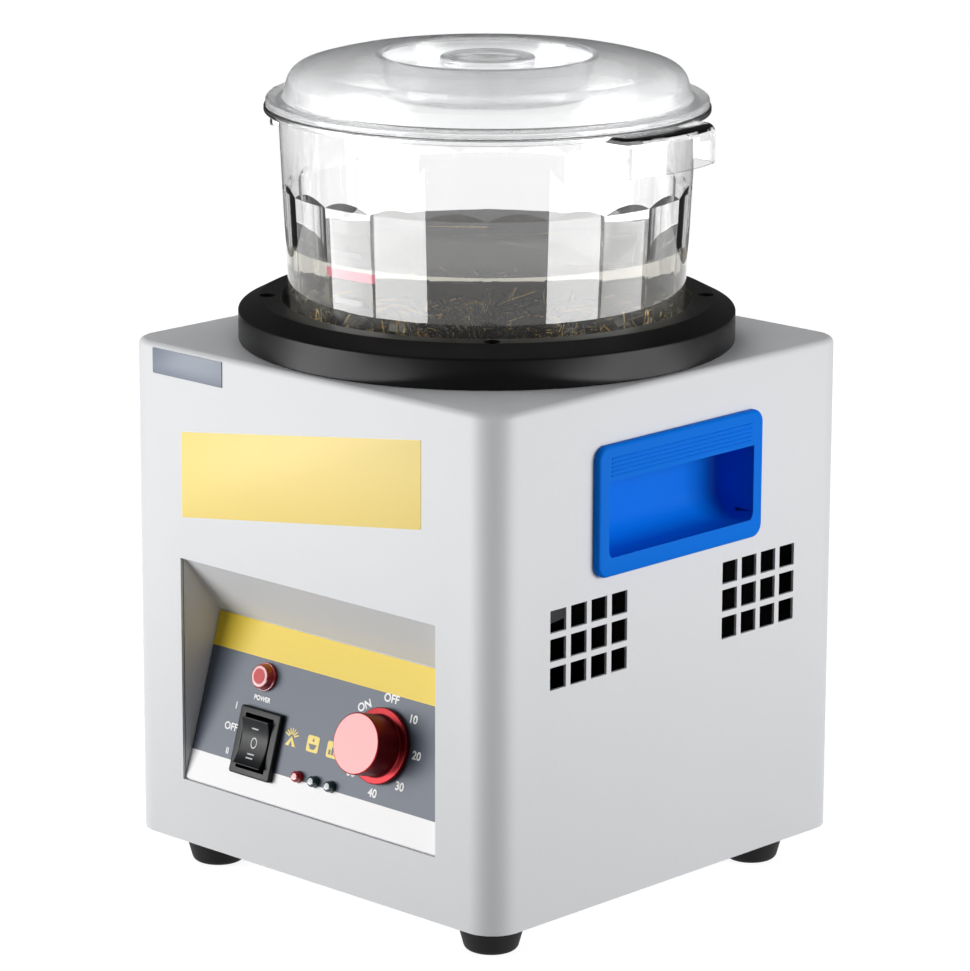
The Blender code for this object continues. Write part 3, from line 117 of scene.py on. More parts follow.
def mathNode(tree, operation, first, second=0.0):
    node = tree.nodes.new("ShaderNodeMath")
    node.operation = operation
    for socket, value in zip(node.inputs, (first, second)):
        if hasattr(value, "is_linked"):
            link(tree, value, socket)
        else:
            socket.default_value = value
    return node.outputs[0]


def axesOf(tree, vector):
    split = tree.nodes.new("ShaderNodeSeparateXYZ")
    link(tree, vector, split.inputs[0])
    return split.outputs


def makeWorld():
    world = bpy.data.worlds.new("studioWhite")
    scene.world = world
    world.use_nodes = True
    tree = world.node_tree
    tree.nodes.clear()
    out = tree.nodes.new("ShaderNodeOutputWorld")
    path = tree.nodes.new("ShaderNodeLightPath")
    where = tree.nodes.new("ShaderNodeTexCoord")
    up = axesOf(tree, where.outputs["Generated"])["Z"]
    height = tree.nodes.new("ShaderNodeMapRange")
    height.inputs["From Min"].default_value = -1.0
    link(tree, up, height.inputs["Value"])
    room = tree.nodes.new("ShaderNodeValToRGB")
    link(tree, height.outputs["Result"], room.inputs["Fac"])
    stops = room.color_ramp.elements
    stops.remove(stops[1])
    for z, level in studio["through"]:
        stop = stops[0] if z == -1.0 else stops.new((z + 1) / 2)
        stop.color = (level, level, level, 1)
    stops[0].position = 0.0
    level = studio["ambient"]
    for ray, strength in (("Is Glossy Ray", studio["mirror"]), ("Is Transmission Ray", room.outputs["Color"]),
                          ("Is Camera Ray", 1.0)):
        choice = tree.nodes.new("ShaderNodeMix")
        link(tree, path.outputs[ray], choice.inputs["Factor"])
        for socket, value in ((choice.inputs["A"], level), (choice.inputs["B"], strength)):
            if hasattr(value, "is_linked"):
                link(tree, value, socket)
            else:
                socket.default_value = value
        level = choice.outputs["Result"]
    glow = tree.nodes.new("ShaderNodeBackground")
    glow.inputs["Color"].default_value = (1, 1, 1, 1)
    link(tree, level, glow.inputs["Strength"])
    link(tree, glow.outputs[0], out.inputs["Surface"])


def makeFloor():
    bm = bmesh.new()
    bmesh.ops.create_grid(bm, x_segments=2, y_segments=2, size=studio["floorSize"] / 2)
    mesh = bpy.data.meshes.new("studioFloor")
    bm.to_mesh(mesh)
    bm.free()
    floor = bpy.data.objects.new("studioFloor", mesh)
    scene.collection.objects.link(floor)
    paper = bpy.data.materials.new("palePaper")
    paper.use_nodes = True
    tree = paper.node_tree
    tree.nodes.clear()
    out = tree.nodes.new("ShaderNodeOutputMaterial")
    path = tree.nodes.new("ShaderNodeLightPath")
    matt = tree.nodes.new("ShaderNodeBsdfDiffuse")
    matt.inputs["Color"].default_value = (studio["floorColour"],) * 3 + (1,)
    lift = tree.nodes.new("ShaderNodeEmission")
    both = tree.nodes.new("ShaderNodeAddShader")
    seen = mathNode(tree, "MAXIMUM", path.outputs["Is Camera Ray"], path.outputs["Is Transmission Ray"])
    seen = mathNode(tree, "MAXIMUM", seen, path.outputs["Is Glossy Ray"])
    link(tree, mathNode(tree, "MULTIPLY", seen, studio["floorLift"]), lift.inputs["Strength"])
    link(tree, matt.outputs[0], both.inputs[0])
    link(tree, lift.outputs[0], both.inputs[1])
    link(tree, both.outputs[0], out.inputs["Surface"])
    mesh.materials.append(paper)


makeCamera()
makeLamps()
makeWorld()
makeFloor()
print("camera, lamps and floor set")


# finishes

def nodeGroup(name, inputs, outputs):
    group = bpy.data.node_groups.new(name, "ShaderNodeTree")
    for label, kind in inputs:
        group.interface.new_socket(label, in_out="INPUT", socket_type="NodeSocket" + kind)
    for label, kind in outputs:
        group.interface.new_socket(label, in_out="OUTPUT", socket_type="NodeSocket" + kind)
    return group, group.nodes.new("NodeGroupInput"), group.nodes.new("NodeGroupOutput")


def noiseNode(tree, vector, scale, detail):
    node = tree.nodes.new("ShaderNodeTexNoise")
    node.inputs["Detail"].default_value = detail
    link(tree, vector, node.inputs["Vector"])
    if hasattr(scale, "is_linked"):
        link(tree, scale, node.inputs["Scale"])
    else:
        node.inputs["Scale"].default_value = scale
    return node.outputs["Fac"]


def mixOut(group, start, end, share, gloss, height):
    colour = group.nodes.new("ShaderNodeMix")
    colour.data_type = "RGBA"
    link(group, share, colour.inputs["Factor"])
    link(group, start.outputs["Shade"], colour.inputs["A"])
    link(group, start.outputs["Colour"], colour.inputs["B"])
    rough = group.nodes.new("ShaderNodeMix")
    link(group, gloss, rough.inputs["Factor"])
    link(group, start.outputs["Gloss Low"], rough.inputs["A"])
    link(group, start.outputs["Gloss High"], rough.inputs["B"])
    link(group, colour.outputs[2], end.inputs["Colour"])
    link(group, rough.outputs["Result"], end.inputs["Roughness"])
    link(group, height, end.inputs["Height"])
    return group


finishSockets = [("Vector", "Vector"), ("Colour", "Color"), ("Shade", "Color"), ("Gloss Low", "Float"),
                 ("Gloss High", "Float")]
finishResults = [("Colour", "Color"), ("Roughness", "Float"), ("Height", "Float")]


def makeGrain():
    # fine moulded or sprayed surface: a grain for the bump, a broad mottle for the colour and gloss
    group, start, end = nodeGroup("fineGrain", finishSockets + [("Grain Scale", "Float")], finishResults)
    grain = noiseNode(group, start.outputs["Vector"], start.outputs["Grain Scale"], 3)
    broad = noiseNode(group, start.outputs["Vector"], 14, 3)
    share = mathNode(group, "ADD", mathNode(group, "MULTIPLY", grain, 0.45), mathNode(group, "MULTIPLY", broad, 0.55))
    return mixOut(group, start, end, share, broad, grain)


def makeBrushed():
    # streaks of a rolled, turned or plated metal, drawn out along the vector that comes in
    group, start, end = nodeGroup("drawnMetal", finishSockets + [("Streaks", "Vector")], finishResults)
    stretch = group.nodes.new("ShaderNodeVectorMath")
    stretch.operation = "MULTIPLY"
    link(group, start.outputs["Vector"], stretch.inputs[0])
    link(group, start.outputs["Streaks"], stretch.inputs[1])
    streak = noiseNode(group, stretch.outputs[0], 1.0, 4)
    return mixOut(group, start, end, streak, streak, streak)


grainGroup, brushedGroup = makeGrain(), makeBrushed()


def shaded(colour, share):
    return tuple(c * share for c in colour)


def newMaterial(name):
    material = bpy.data.materials.new(name)
    material.use_nodes = True
    tree = material.node_tree
    where = tree.nodes.new("ShaderNodeTexCoord")
    return material, tree, tree.nodes["Principled BSDF"], where.outputs["Object"]


def addBump(tree, shader, height, depth, strength):
    bump = tree.nodes.new("ShaderNodeBump")
    bump.inputs["Distance"].default_value = depth
    bump.inputs["Strength"].default_value = strength
    link(tree, height, bump.inputs["Height"])
    link(tree, bump.outputs["Normal"], shader.inputs["Normal"])


def grained(name, pattern, colour, shade, gloss, depth, bump):
    material, tree, shader, where = newMaterial(name)
    group = tree.nodes.new("ShaderNodeGroup")
    group.node_tree = pattern
    link(tree, where, group.inputs["Vector"])
    group.inputs["Colour"].default_value = (*colour, 1)
    group.inputs["Shade"].default_value = (*shaded(colour, shade), 1)
    group.inputs["Gloss Low"].default_value, group.inputs["Gloss High"].default_value = gloss
    link(tree, group.outputs["Colour"], shader.inputs["Base Color"])
    link(tree, group.outputs["Roughness"], shader.inputs["Roughness"])
    addBump(tree, shader, group.outputs["Height"], depth, bump)
    return material, group, shader


def moulded(name, colour, shade=0.8, grain=900, gloss=(0.35, 0.5), depth=0.0002, bump=0.2, metal=0.0, shine=0.5):
    material, group, shader = grained(name, grainGroup, colour, shade, gloss, depth, bump)
    group.inputs["Grain Scale"].default_value = grain
    shader.inputs["Metallic"].default_value = metal
    shader.inputs["Specular IOR Level"].default_value = shine
    return material


def drawn(name, colour, shade=0.75, streaks=(900, 40, 900), gloss=(0.25, 0.45), metal=1.0, bump=0.1):
    material, group, shader = grained(name, brushedGroup, colour, shade, gloss, 0.0001, bump)
    group.inputs["Streaks"].default_value = streaks
    shader.inputs["Metallic"].default_value = metal
    return material


def printed(name, colour, shade=0.95, gloss=(0.4, 0.55)):
    return moulded(name, colour, shade, 900, gloss, 0.0001, 0.05)


def silverCoat(name):
    return moulded(name, (0.78, 0.79, 0.81), 0.93, 850, (0.46, 0.54), 0.0003, 0.16, shine=0.4)


def clearGlass(name, tint, ior, rough, clear=1.0):
    # lamps shine through, so that what stands inside is lit
    material, tree, shader, where = newMaterial(name)
    shader.inputs["Base Color"].default_value = (*tint, 1)
    shader.inputs["Roughness"].default_value = rough
    shader.inputs["IOR"].default_value = ior
    shader.inputs["Transmission Weight"].default_value = clear
    path = tree.nodes.new("ShaderNodeLightPath")
    through = tree.nodes.new("ShaderNodeBsdfTransparent")
    through.inputs["Color"].default_value = (*shaded(tint, 0.97), 1)
    either = tree.nodes.new("ShaderNodeMixShader")
    link(tree, path.outputs["Is Shadow Ray"], either.inputs[0])
    link(tree, shader.outputs[0], either.inputs[1])
    link(tree, through.outputs[0], either.inputs[2])
    link(tree, either.outputs[0], tree.nodes["Material Output"].inputs["Surface"])
    return material


finishes = dict(
    coat=silverCoat("silverPowderCoat"),
    top=moulded("blackSeatSatin", (0.006, 0.006, 0.0065), 0.75, 1500, (0.30, 0.38), 0.0001, 0.10, shine=0.18),
    rubber=moulded("footRubber", (0.006, 0.006, 0.0065), 0.7, 1100, (0.5, 0.7), 0.0002, 0.25, shine=0.2),
    black=moulded("blackMoulding", (0.008, 0.009, 0.011), 0.8, 1400, (0.28, 0.42), 0.0001, 0.14, shine=0.16),
    blue=moulded("blueMoulding", (0.001, 0.188, 0.84), 0.92, 700, (0.40, 0.48), 0.0002, 0.06, shine=0.03),
    red=drawn("redAnodised", (0.17, 0.002, 0.005), 0.85, (1500, 1500, 1500), (0.26, 0.36), 0.75, 0.06),
    zinc=drawn("zincPlate", (0.55, 0.56, 0.58)),
    steel=drawn("bareSteel", (0.42, 0.42, 0.44), 0.7, (60, 1200, 1200)),
    darkSteel=drawn("blackenedSteel", (0.05, 0.05, 0.055), 0.6, (700, 700, 700), (0.3, 0.5)),
    iron=moulded("motorEnamel", (0.03, 0.03, 0.033), 0.7, 500, (0.4, 0.6), 0.0003, 0.3, 0.3),
    alloy=moulded("castAlloy", (0.52, 0.52, 0.53), 0.8, 450, (0.35, 0.55), 0.0003, 0.3, 0.9),
    nickel=drawn("nickelPlate", (0.62, 0.60, 0.57), 0.9, (500, 500, 500), (0.12, 0.22)),
    brass=drawn("plainBrass", (0.63, 0.45, 0.17), 0.8, (900, 900, 60), (0.22, 0.38)),
    board=moulded("circuitBoard", (0.02, 0.16, 0.07), 0.7, 300, (0.3, 0.5), 0.0001, 0.1),
    clear=clearGlass("clearPlastic", (0.985, 0.985, 0.985), 1.56, 0.0),
    milky=clearGlass("hazyPlastic", (0.97, 0.975, 0.98), 1.45, 0.12, 0.88),
    water=clearGlass("bowlWater", (0.82, 0.81, 0.78), 1.33, 0.0, 0.96),
)
print("finishes made:", len(finishes))


# shape helpers

def roundOff(points, closed=False, step=math.radians(7)):
    # points are (x, y) or (x, y, radius); a radius becomes an arc
    line = []
    for i, point in enumerate(points):
        here = Vector(point[:2])
        radius = point[2] if len(point) > 2 else 0
        if radius <= 0 or (not closed and i in (0, len(points) - 1)):
            line.append(here)
            continue
        back = Vector(points[i - 1][:2]) - here
        ahead = Vector(points[(i + 1) % len(points)][:2]) - here
        half = back.angle(ahead) / 2
        reach = min(radius / math.tan(half), 0.49 * back.length, 0.49 * ahead.length)
        radius = reach * math.tan(half)
        centre = here + (back.normalized() + ahead.normalized()).normalized() * radius / math.sin(half)
        first = here + back.normalized() * reach - centre
        last = here + ahead.normalized() * reach - centre
        sweep = math.atan2(first.x * last.y - first.y * last.x, first.dot(last))
        count = max(2, math.ceil(abs(sweep) / step))
        line += [centre + Matrix.Rotation(sweep * k / count, 2) @ first for k in range(count + 1)]
    return line


def turnProfile(line, steps, ring=False):
    bm = bmesh.new()
    verts = [bm.verts.new((p[0], 0, p[1])) for p in line]
    edges = [bm.edges.new(pair) for pair in zip(verts, verts[1:])]
    if ring:
        edges.append(bm.edges.new((verts[-1], verts[0])))
    bmesh.ops.spin(bm, geom=verts + edges, cent=(0, 0, 0), axis=(0, 0, 1), angle=2 * math.pi, steps=steps,
                   use_merge=True)
    bmesh.ops.remove_doubles(bm, verts=bm.verts, dist=1e-6)
    bmesh.ops.recalc_face_normals(bm, faces=bm.faces)
    return bm


def drawOut(outline, low, high):
    bm = bmesh.new()
    face = bm.faces.new([bm.verts.new((p[0], p[1], low)) for p in outline])
    grown = bmesh.ops.extrude_face_region(bm, geom=[face])
    moved = [item for item in grown["geom"] if isinstance(item, bmesh.types.BMVert)]
    bmesh.ops.translate(bm, verts=moved, vec=(0, 0, high - low))
    bmesh.ops.recalc_face_normals(bm, faces=bm.faces)
    return bm


def roundedSlab(width, depth, radius, low, high, step=math.radians(9)):
    x, y = width / 2, depth / 2
    corners = [(-x, -y, radius), (x, -y, radius), (x, y, radius), (-x, y, radius)]
    return drawOut(roundOff(corners, True, step), low, high)


def blockBetween(x, y, z):
    return drawOut([(x[0], y[0]), (x[1], y[0]), (x[1], y[1]), (x[0], y[1])], z[0], z[1])


def softenEdges(bm, edges, width, segments=3, clamp=True):
    bmesh.ops.bevel(bm, geom=list(edges), offset=width, segments=segments, profile=0.5, affect="EDGES", material=-1,
                    clamp_overlap=clamp)
    return bm


def rimEdges(bm, level):
    return [e for e in bm.edges if all(abs(v.co.z - level) < 1e-6 for v in e.verts)]


def moved(bm, matrix):
    bmesh.ops.transform(bm, matrix=matrix, verts=bm.verts)
    return bm


def gathered(shapes):
    bm = bmesh.new()
    for shape in shapes:
        held = bpy.data.meshes.new("held")
        shape.to_mesh(held)
        shape.free()
        bm.from_mesh(held)
        bpy.data.meshes.remove(held)
    return bm


def shopObject(bm):
    mesh = bpy.data.meshes.new("shop")
    bm.to_mesh(mesh)
    bm.free()
    made = bpy.data.objects.new("shop", mesh)
    scene.collection.objects.link(made)
    return made


def carved(bm, tools, operation="DIFFERENCE"):
    # one Boolean against several tools, applied at once
    work, tool = shopObject(bm), shopObject(gathered(tools))
    cut = work.modifiers.new("cut", "BOOLEAN")
    cut.operation = operation
    cut.object = tool
    result = bmesh.new()
    result.from_object(work, bpy.context.evaluated_depsgraph_get())
    for item in (work, tool):
        mesh = item.data
        bpy.data.objects.remove(item)
        bpy.data.meshes.remove(mesh)
    return result


def addPiece(name, bm, finish, body="housing", replaced=(), sharp=30):
    mesh = bpy.data.meshes.new(name)
    bm.to_mesh(mesh)
    bm.free()
    mesh.shade_smooth()
    mesh.set_sharp_from_angle(angle=math.radians(sharp))
    mesh.materials.append(finish)
    piece = bpy.data.objects.new(name, mesh)
    scene.collection.objects.link(piece)
    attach(piece, body)
    if replaced:
        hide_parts(*replaced)
    return piece


# cabinet shell and feet

# the last entry sets how far inside the outer faces the painted shade of the shell's inside begins
shell = dict(sheet=0.0015, corner=0.015, fold=0.003, edge=0.00035, vent=0.010, ventAcross=0.013, ventUp=0.0127,
             ventFrom=0.0315, ventLow=0.1214, windowHalf=0.0498, windowLow=0.1713, windowHigh=0.2176,
             recessHalf=0.080, recessLow=0.0465, recessHigh=0.1505, topHole=0.079, inletEars=0.0105,
             inletLip=0.003, paintedShadeInset=0.0013)


def paintedShadeInside(material, limits):
    # painted shade: everything behind the outer skin is coloured near black, so that the vents and openings look dark
    # inside
    tree = material.node_tree
    shader = tree.nodes["Principled BSDF"]
    where = tree.nodes.new("ShaderNodeTexCoord")
    away = [mathNode(tree, "ABSOLUTE", axis) for axis in axesOf(tree, where.outputs["Object"])]
    away.append(mathNode(tree, "MINIMUM", away[0], away[1]))  # leaves out the rounded corners
    insideShadeMask = 1.0
    for reach, limit in zip(away, (*limits, limits[0] - shell["corner"])):
        insideShadeMask = mathNode(tree, "MULTIPLY", mathNode(tree, "LESS_THAN", reach, limit), insideShadeMask)
    colour = tree.nodes.new("ShaderNodeMix")
    colour.data_type = "RGBA"
    link(tree, insideShadeMask, colour.inputs["Factor"])
    link(tree, shader.inputs["Base Color"].links[0].from_socket, colour.inputs["A"])
    # painted shade: near-black colour of the shell's inside
    colour.inputs["B"].default_value = (0.004, 0.004, 0.004, 1)
    link(tree, colour.outputs[2], shader.inputs["Base Color"])


def makeShell():
    low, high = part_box("housing_shell")
    width, depth, sheet = high.x - low.x, high.y - low.y, shell["sheet"]
    bm = roundedSlab(width, depth, shell["corner"], low.z, high.z, math.radians(6))
    softenEdges(bm, rimEdges(bm, high.z), shell["fold"], 5)
    inner = roundedSlab(width - 2 * sheet, depth - 2 * sheet, shell["corner"] - sheet, low.z - sheet, high.z - sheet)
    tools = [blockBetween((-shell["recessHalf"], shell["recessHalf"]), (low.y - sheet, low.y + 2 * sheet),
                          (shell["recessLow"], shell["recessHigh"])),
             blockBetween((low.x - sheet, high.x + sheet), (-shell["windowHalf"], shell["windowHalf"]),
                          (shell["windowLow"], shell["windowHigh"])),
             turnProfile([(0, high.z - 2 * sheet), (shell["topHole"], high.z - 2 * sheet),
                          (shell["topHole"], high.z + sheet), (0, high.z + sheet)], 48)]
    for row in range(3):
        z = shell["ventLow"] + row * shell["ventUp"]
        for column in range(4):
            near = shell["ventFrom"] + column * shell["ventAcross"]
            for side in (near, -near - shell["vent"]):
                tools.append(blockBetween((low.x - sheet, high.x + sheet), (side, side + shell["vent"]),
                                          (z, z + shell["vent"])))
    socketLow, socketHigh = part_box("power_inlet")
    ears, lip = shell["inletEars"], shell["inletLip"]
    tools.append(blockBetween((socketLow.x + ears, socketHigh.x - ears), (high.y - 2 * sheet, high.y + sheet),
                              (socketLow.z + lip, socketHigh.z - lip)))
    bm = carved(bm, [inner])
    bm = carved(bm, tools)
    outside = silverCoat("silverCoatPaintedShadeInside")
    # painted shade on the inside of the shell, starting a little inside the outer faces
    paintedShadeInside(outside, [reach - shell["paintedShadeInset"] for reach in high])
    piece = addPiece("cabinetShell", bm, outside, "housing", ["housing_shell"], 35)
    worn = piece.modifiers.new("paintedEdge", "BEVEL")  # paint rounds the cut edges of the sheet
    worn.width, worn.segments, worn.limit_method, worn.angle_limit = shell["edge"], 2, "ANGLE", math.radians(60)
    worn.harden_normals = True


foot = dict(top=0.0160, bottom=0.0116, edge=0.0032, bore=0.0023, sink=0.0043, seat=0.007)


def makeFeet():
    for corner in ("front_left", "front_right", "rear_left", "rear_right"):
        low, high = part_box("foot_" + corner)
        line = roundOff([(foot["bore"], high.z), (foot["bore"], foot["seat"]), (foot["sink"], foot["seat"]),
                         (foot["sink"], 0, 0.0004), (foot["bottom"], 0, foot["edge"]),
                         (foot["top"], high.z - 0.0006, 0.0005), (foot["top"] - 0.0006, high.z)])
        bm = turnProfile(line, 56, True)
        moved(bm, Matrix.Translation(((low.x + high.x) / 2, (low.y + high.y) / 2, 0)))
        addPiece("foot." + corner, bm, finishes["rubber"], "housing", ["foot_" + corner], 40)


makeShell()
makeFeet()
print("cabinet shell and feet made")


# side handles

handle = dict(low=0.1658, length=0.108, height=0.0583, proud=0.0035, corner=0.006, edge=0.0016, wall=0.002,
              pocketHalf=0.0475, sill=0.0078, pocketTop=0.0425, roof=0.0495, depth=0.0195, sweep=0.014, lip=0.006,
              inner=0.0045, ribs=5, ribFrom=0.0448, ribPitch=0.0019, ribHalf=0.0462, ribHeight=0.0009,
              ribProud=0.0004, skin=0.115)


def alongWall(outline, half):
    # outline is (up, outward); it runs along the wall
    turn = Matrix(((0, 0, 1), (1, 0, 0), (0, 1, 0))).to_4x4()
    return moved(drawOut(outline, -half, half), turn)


def makeHandles():
    h = handle
    for side, name in ((1, "handle_right"), (-1, "handle_left")):
        bezel = roundedSlab(h["length"], h["height"], h["corner"], 0.0003, h["proud"], math.radians(8))
        softenEdges(bezel, rimEdges(bezel, h["proud"]), h["edge"], 5)
        moved(bezel, Matrix.Translation((0, h["height"] / 2, 0)))
        back = -h["depth"] - h["wall"]
        under, over = h["sill"] - h["wall"], h["roof"] + h["wall"]
        outer = roundOff([(under, h["proud"] / 2), (under, back, h["sweep"] + h["wall"]), (over, back, h["wall"]),
                          (over, h["proud"] / 2)], True)
        tub = alongWall(outer, h["pocketHalf"] + h["wall"])
        mouth = h["proud"] + h["wall"]
        scoop = roundOff([(h["sill"], mouth), (h["sill"], -h["depth"], h["sweep"]), (h["roof"], -h["depth"]),
                          (h["roof"], -h["lip"]), (h["pocketTop"], -h["lip"]), (h["pocketTop"], mouth)],
                         True, math.radians(6))
        hollow = alongWall(scoop, h["pocketHalf"])
        # the floor, the sweep and the back run into the pocket's ends in a fillet
        ends = [e for e in hollow.edges if all(abs(abs(v.co.x) - h["pocketHalf"]) < 1e-6 for v in e.verts)
                and (all(v.co.z < h["sweep"] - h["depth"] + 1e-6 for v in e.verts)
                     or all(v.co.y < h["sill"] + 1e-6 for v in e.verts))
                and not all(abs(v.co.y - h["roof"]) < 1e-6 for v in e.verts)]
        softenEdges(hollow, ends, h["inner"], 5, False)
        ribs = []
        for k in range(h["ribs"]):
            rib = roundedSlab(2 * h["ribHalf"], h["ribHeight"], h["ribHeight"] * 0.4, h["proud"] - 0.0005,
                              h["proud"] + h["ribProud"])
            softenEdges(rib, rimEdges(rib, h["proud"] + h["ribProud"]), 0.0003, 2)
            ribs.append(moved(rib, Matrix.Translation((0, h["ribFrom"] + k * h["ribPitch"], 0))))
        bm = carved(bezel, [tub], "UNION")
        bm = carved(bm, [hollow])
        for rib in ribs:
            bm = carved(bm, [rib], "UNION")
        place = (Matrix.Translation((side * h["skin"], 0, h["low"])) @ Matrix.Rotation(side * math.pi / 2, 4, "Z")
                 @ Matrix.Rotation(math.pi / 2, 4, "X"))
        addPiece(name.replace("_", "."), moved(bm, place), finishes["blue"], "housing", [name], 28)


makeHandles()
print("handles made")


# front plate and label, both bare

frontSigns = dict(plate=dict(x=(-0.0964, -0.0514), z=(0.2334, 0.2450), slant=0.0, thick=0.0004, round=0.0005),
                  label=dict(x=(-0.0784, 0.0715), z=(0.1805, 0.2197), slant=0.0215, thick=0.00015, round=0.0004))


def makeSigns():
    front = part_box("housing_shell")[0].y
    for name, colour, gloss in (("plate", (0.165, 0.20, 0.265), (0.30, 0.42)),
                                ("label", (1.0, 0.775, 0.215), (0.42, 0.55))):
        sign = frontSigns[name]
        width, tall = sign["x"][1] - sign["x"][0], sign["z"][1] - sign["z"][0]
        bm = roundedSlab(width, tall, sign["round"], 0, sign["thick"])
        softenEdges(bm, rimEdges(bm, sign["thick"]), sign["thick"] * 0.4, 2)
        place = (Matrix.Translation((sum(sign["x"]) / 2, front, sum(sign["z"]) / 2))
                 @ Matrix.Rotation(math.pi / 2, 4, "X"))
        place[2][0] = sign["slant"] / width  # rises to the right, with upright ends
        finish = moulded(name + "Print", colour, 0.94, 600, gloss, 0.0001, 0.05)
        addPiece("front." + name, moved(bm, place), finish, "housing", (), 40)


makeSigns()
print("front signs made")


# control panel: local x runs right, y up the slope, z out of it

panel = dict(foot=(0, -0.1132, 0.0465), lean=math.radians(16.685), face=0.0008, whiteTo=0.0139, slateTo=0.0625)
panelPlace = Matrix.Translation(panel["foot"]) @ Matrix.Rotation(math.pi / 2 - panel["lean"], 4, "X")


def makeOverlay():
    material, tree, shader, where = newMaterial("printedOverlay")
    flat = tree.nodes.new("ShaderNodeMapping")  # into the panel's own frame
    flat.vector_type = "TEXTURE"
    flat.inputs["Location"].default_value = panel["foot"]
    flat.inputs["Rotation"].default_value = (math.pi / 2 - panel["lean"], 0, 0)
    link(tree, where, flat.inputs["Vector"])
    bands = tree.nodes.new("ShaderNodeValToRGB")
    bands.color_ramp.interpolation = "CONSTANT"
    span = 0.08
    link(tree, mathNode(tree, "DIVIDE", axesOf(tree, flat.outputs[0])["Y"], span), bands.inputs["Fac"])
    stops = bands.color_ramp.elements
    stops[0].position, stops[0].color = 0.0, (0.93, 0.93, 0.93, 1)
    stops[1].position, stops[1].color = panel["whiteTo"] / span, (0.084, 0.105, 0.145, 1)
    last = stops.new(panel["slateTo"] / span)
    last.color = (0.80, 0.58, 0.022, 1)
    grain = noiseNode(tree, where, 1300, 2)
    rough = tree.nodes.new("ShaderNodeMapRange")
    rough.inputs["To Min"].default_value, rough.inputs["To Max"].default_value = 0.34, 0.48
    link(tree, grain, rough.inputs["Value"])
    link(tree, bands.outputs["Color"], shader.inputs["Base Color"])
    link(tree, rough.outputs["Result"], shader.inputs["Roughness"])
    shader.inputs["Specular IOR Level"].default_value = 0.3
    addBump(tree, shader, grain, 0.0001, 0.06)
    nodes["control_overlay"].data.materials.clear()
    nodes["control_overlay"].data.materials.append(material)


def lettering(text, size, bold=0.0):
    curve = bpy.data.curves.new("words", "FONT")
    curve.body, curve.size = text, size
    curve.align_x = curve.align_y = "CENTER"
    curve.offset = bold
    curve.extrude = 0.00004
    held = bpy.data.objects.new("words", curve)
    scene.collection.objects.link(held)
    flat = bpy.data.meshes.new_from_object(held.evaluated_get(bpy.context.evaluated_depsgraph_get()))
    bm = bmesh.new()
    bm.from_mesh(flat)
    bpy.data.objects.remove(held)
    bpy.data.curves.remove(curve)
    bpy.data.meshes.remove(flat)
    bmesh.ops.remove_doubles(bm, verts=bm.verts, dist=1e-7)
    bmesh.ops.recalc_face_normals(bm, faces=bm.faces)
    return bm


dial = dict(x=0.0355, up=0.0393, ring=0.0212, size=0.0052, bold=0.00014,
            words=[("OFF", 0, 0), ("10", 45, 0), ("20", 90, 0), ("30", 135, 0), ("40", 180, 0), ("50", 225, 0),
                   ("60", 270, 0), ("ON", -45, 30)])
switchWords = [("OFF", -0.0577, 0.0285, 0.0048), ("I", -0.0570, 0.0385, 0.0045), ("II", -0.0570, 0.0175, 0.0040),
               ("POWER", -0.0420, 0.0445, 0.0030)]


def onPanel(bm, x, up, turn=0.0, lift=0.00006):
    place = (panelPlace @ Matrix.Translation((x, up, panel["face"] + lift)) @ Matrix.Rotation(turn, 4, "Z"))
    return moved(bm, place)


def makeMarks():
    words = []
    for text, angle, lean in dial["words"]:
        a = math.radians(angle)
        words.append(onPanel(lettering(text, dial["size"], dial["bold"]), dial["x"] + dial["ring"] * math.sin(a),
                             dial["up"] + dial["ring"] * math.cos(a), math.radians(lean)))
    for text, x, up, size in switchWords:
        words.append(onPanel(lettering(text, size, 0.0001), x, up))
    white = printed("whitePrint", (0.92, 0.92, 0.92))
    addPiece("panel.marks", gathered(words), white, "housing", (), 40)


icons = dict(size=0.0074, round=0.0011, thick=0.00005,
             places=[(-0.0192, 0.0315), (-0.0056, 0.0315), (0.0070, 0.0315)])


def makeIcons():
    size, thick, proud = icons["size"], icons["thick"], icons["thick"] * 1.6

    def sized(points):
        return [tuple(size * share for share in point) for point in points]

    tiles, signs = [], []
    # a burst of rays over a peak
    x, up = icons["places"][0]
    tiles.append(onPanel(drawOut(sized([(-0.45, -0.5), (0.45, -0.5), (0, 0.1)]), 0, thick), x, up))
    for k in range(7):
        a = math.radians(-66 + 22 * k)
        ray = blockBetween((-size * 0.04, size * 0.04), (size * 0.22, size * 0.60), (0, thick))
        tiles.append(onPanel(moved(ray, Matrix.Rotation(-a, 4, "Z")), x, up))
    signs.append(onPanel(drawOut(sized([(-0.14, -0.5), (0.14, -0.5), (0, -0.14)]), 0, proud), x, up))
    # a dish with a drop over it
    x, up = icons["places"][1]
    tiles.append(onPanel(roundedSlab(size, size, icons["round"], 0, thick), x, up))
    dish = roundOff(sized([(-0.36, -0.02), (0.36, -0.02), (0.16, -0.34, 0.12), (-0.16, -0.34, 0.12)]), True)
    drop = roundOff(sized([(0, 0.38), (-0.12, 0.14, 0.08), (0.12, 0.14, 0.08)]), True)
    for outline in (dish, drop):
        signs.append(onPanel(drawOut(outline, 0, proud), x, up))
    # three level bars
    x, up = icons["places"][2]
    tiles.append(onPanel(roundedSlab(size, size, icons["round"], 0, thick), x, up))
    for k, share in enumerate((0.3, 0.46, 0.62)):
        bar = blockBetween((-size * 0.32 + k * size * 0.24, -size * 0.16 + k * size * 0.24),
                           (-size * 0.32, -size * 0.32 + size * share), (0, proud))
        signs.append(onPanel(bar, x, up))
    yellow = printed("yellowPrint", (0.90, 0.68, 0.10), 0.94)
    dark = printed("darkPrint", (0.06, 0.065, 0.075), 0.9)
    addPiece("panel.iconTiles", gathered(tiles), yellow, "housing", (), 40)
    addPiece("panel.iconSigns", gathered(signs), dark, "housing", (), 40)


makeOverlay()
makeMarks()
makeIcons()
print("panel print made")


# timer knob, switch, lamp and indicator lights

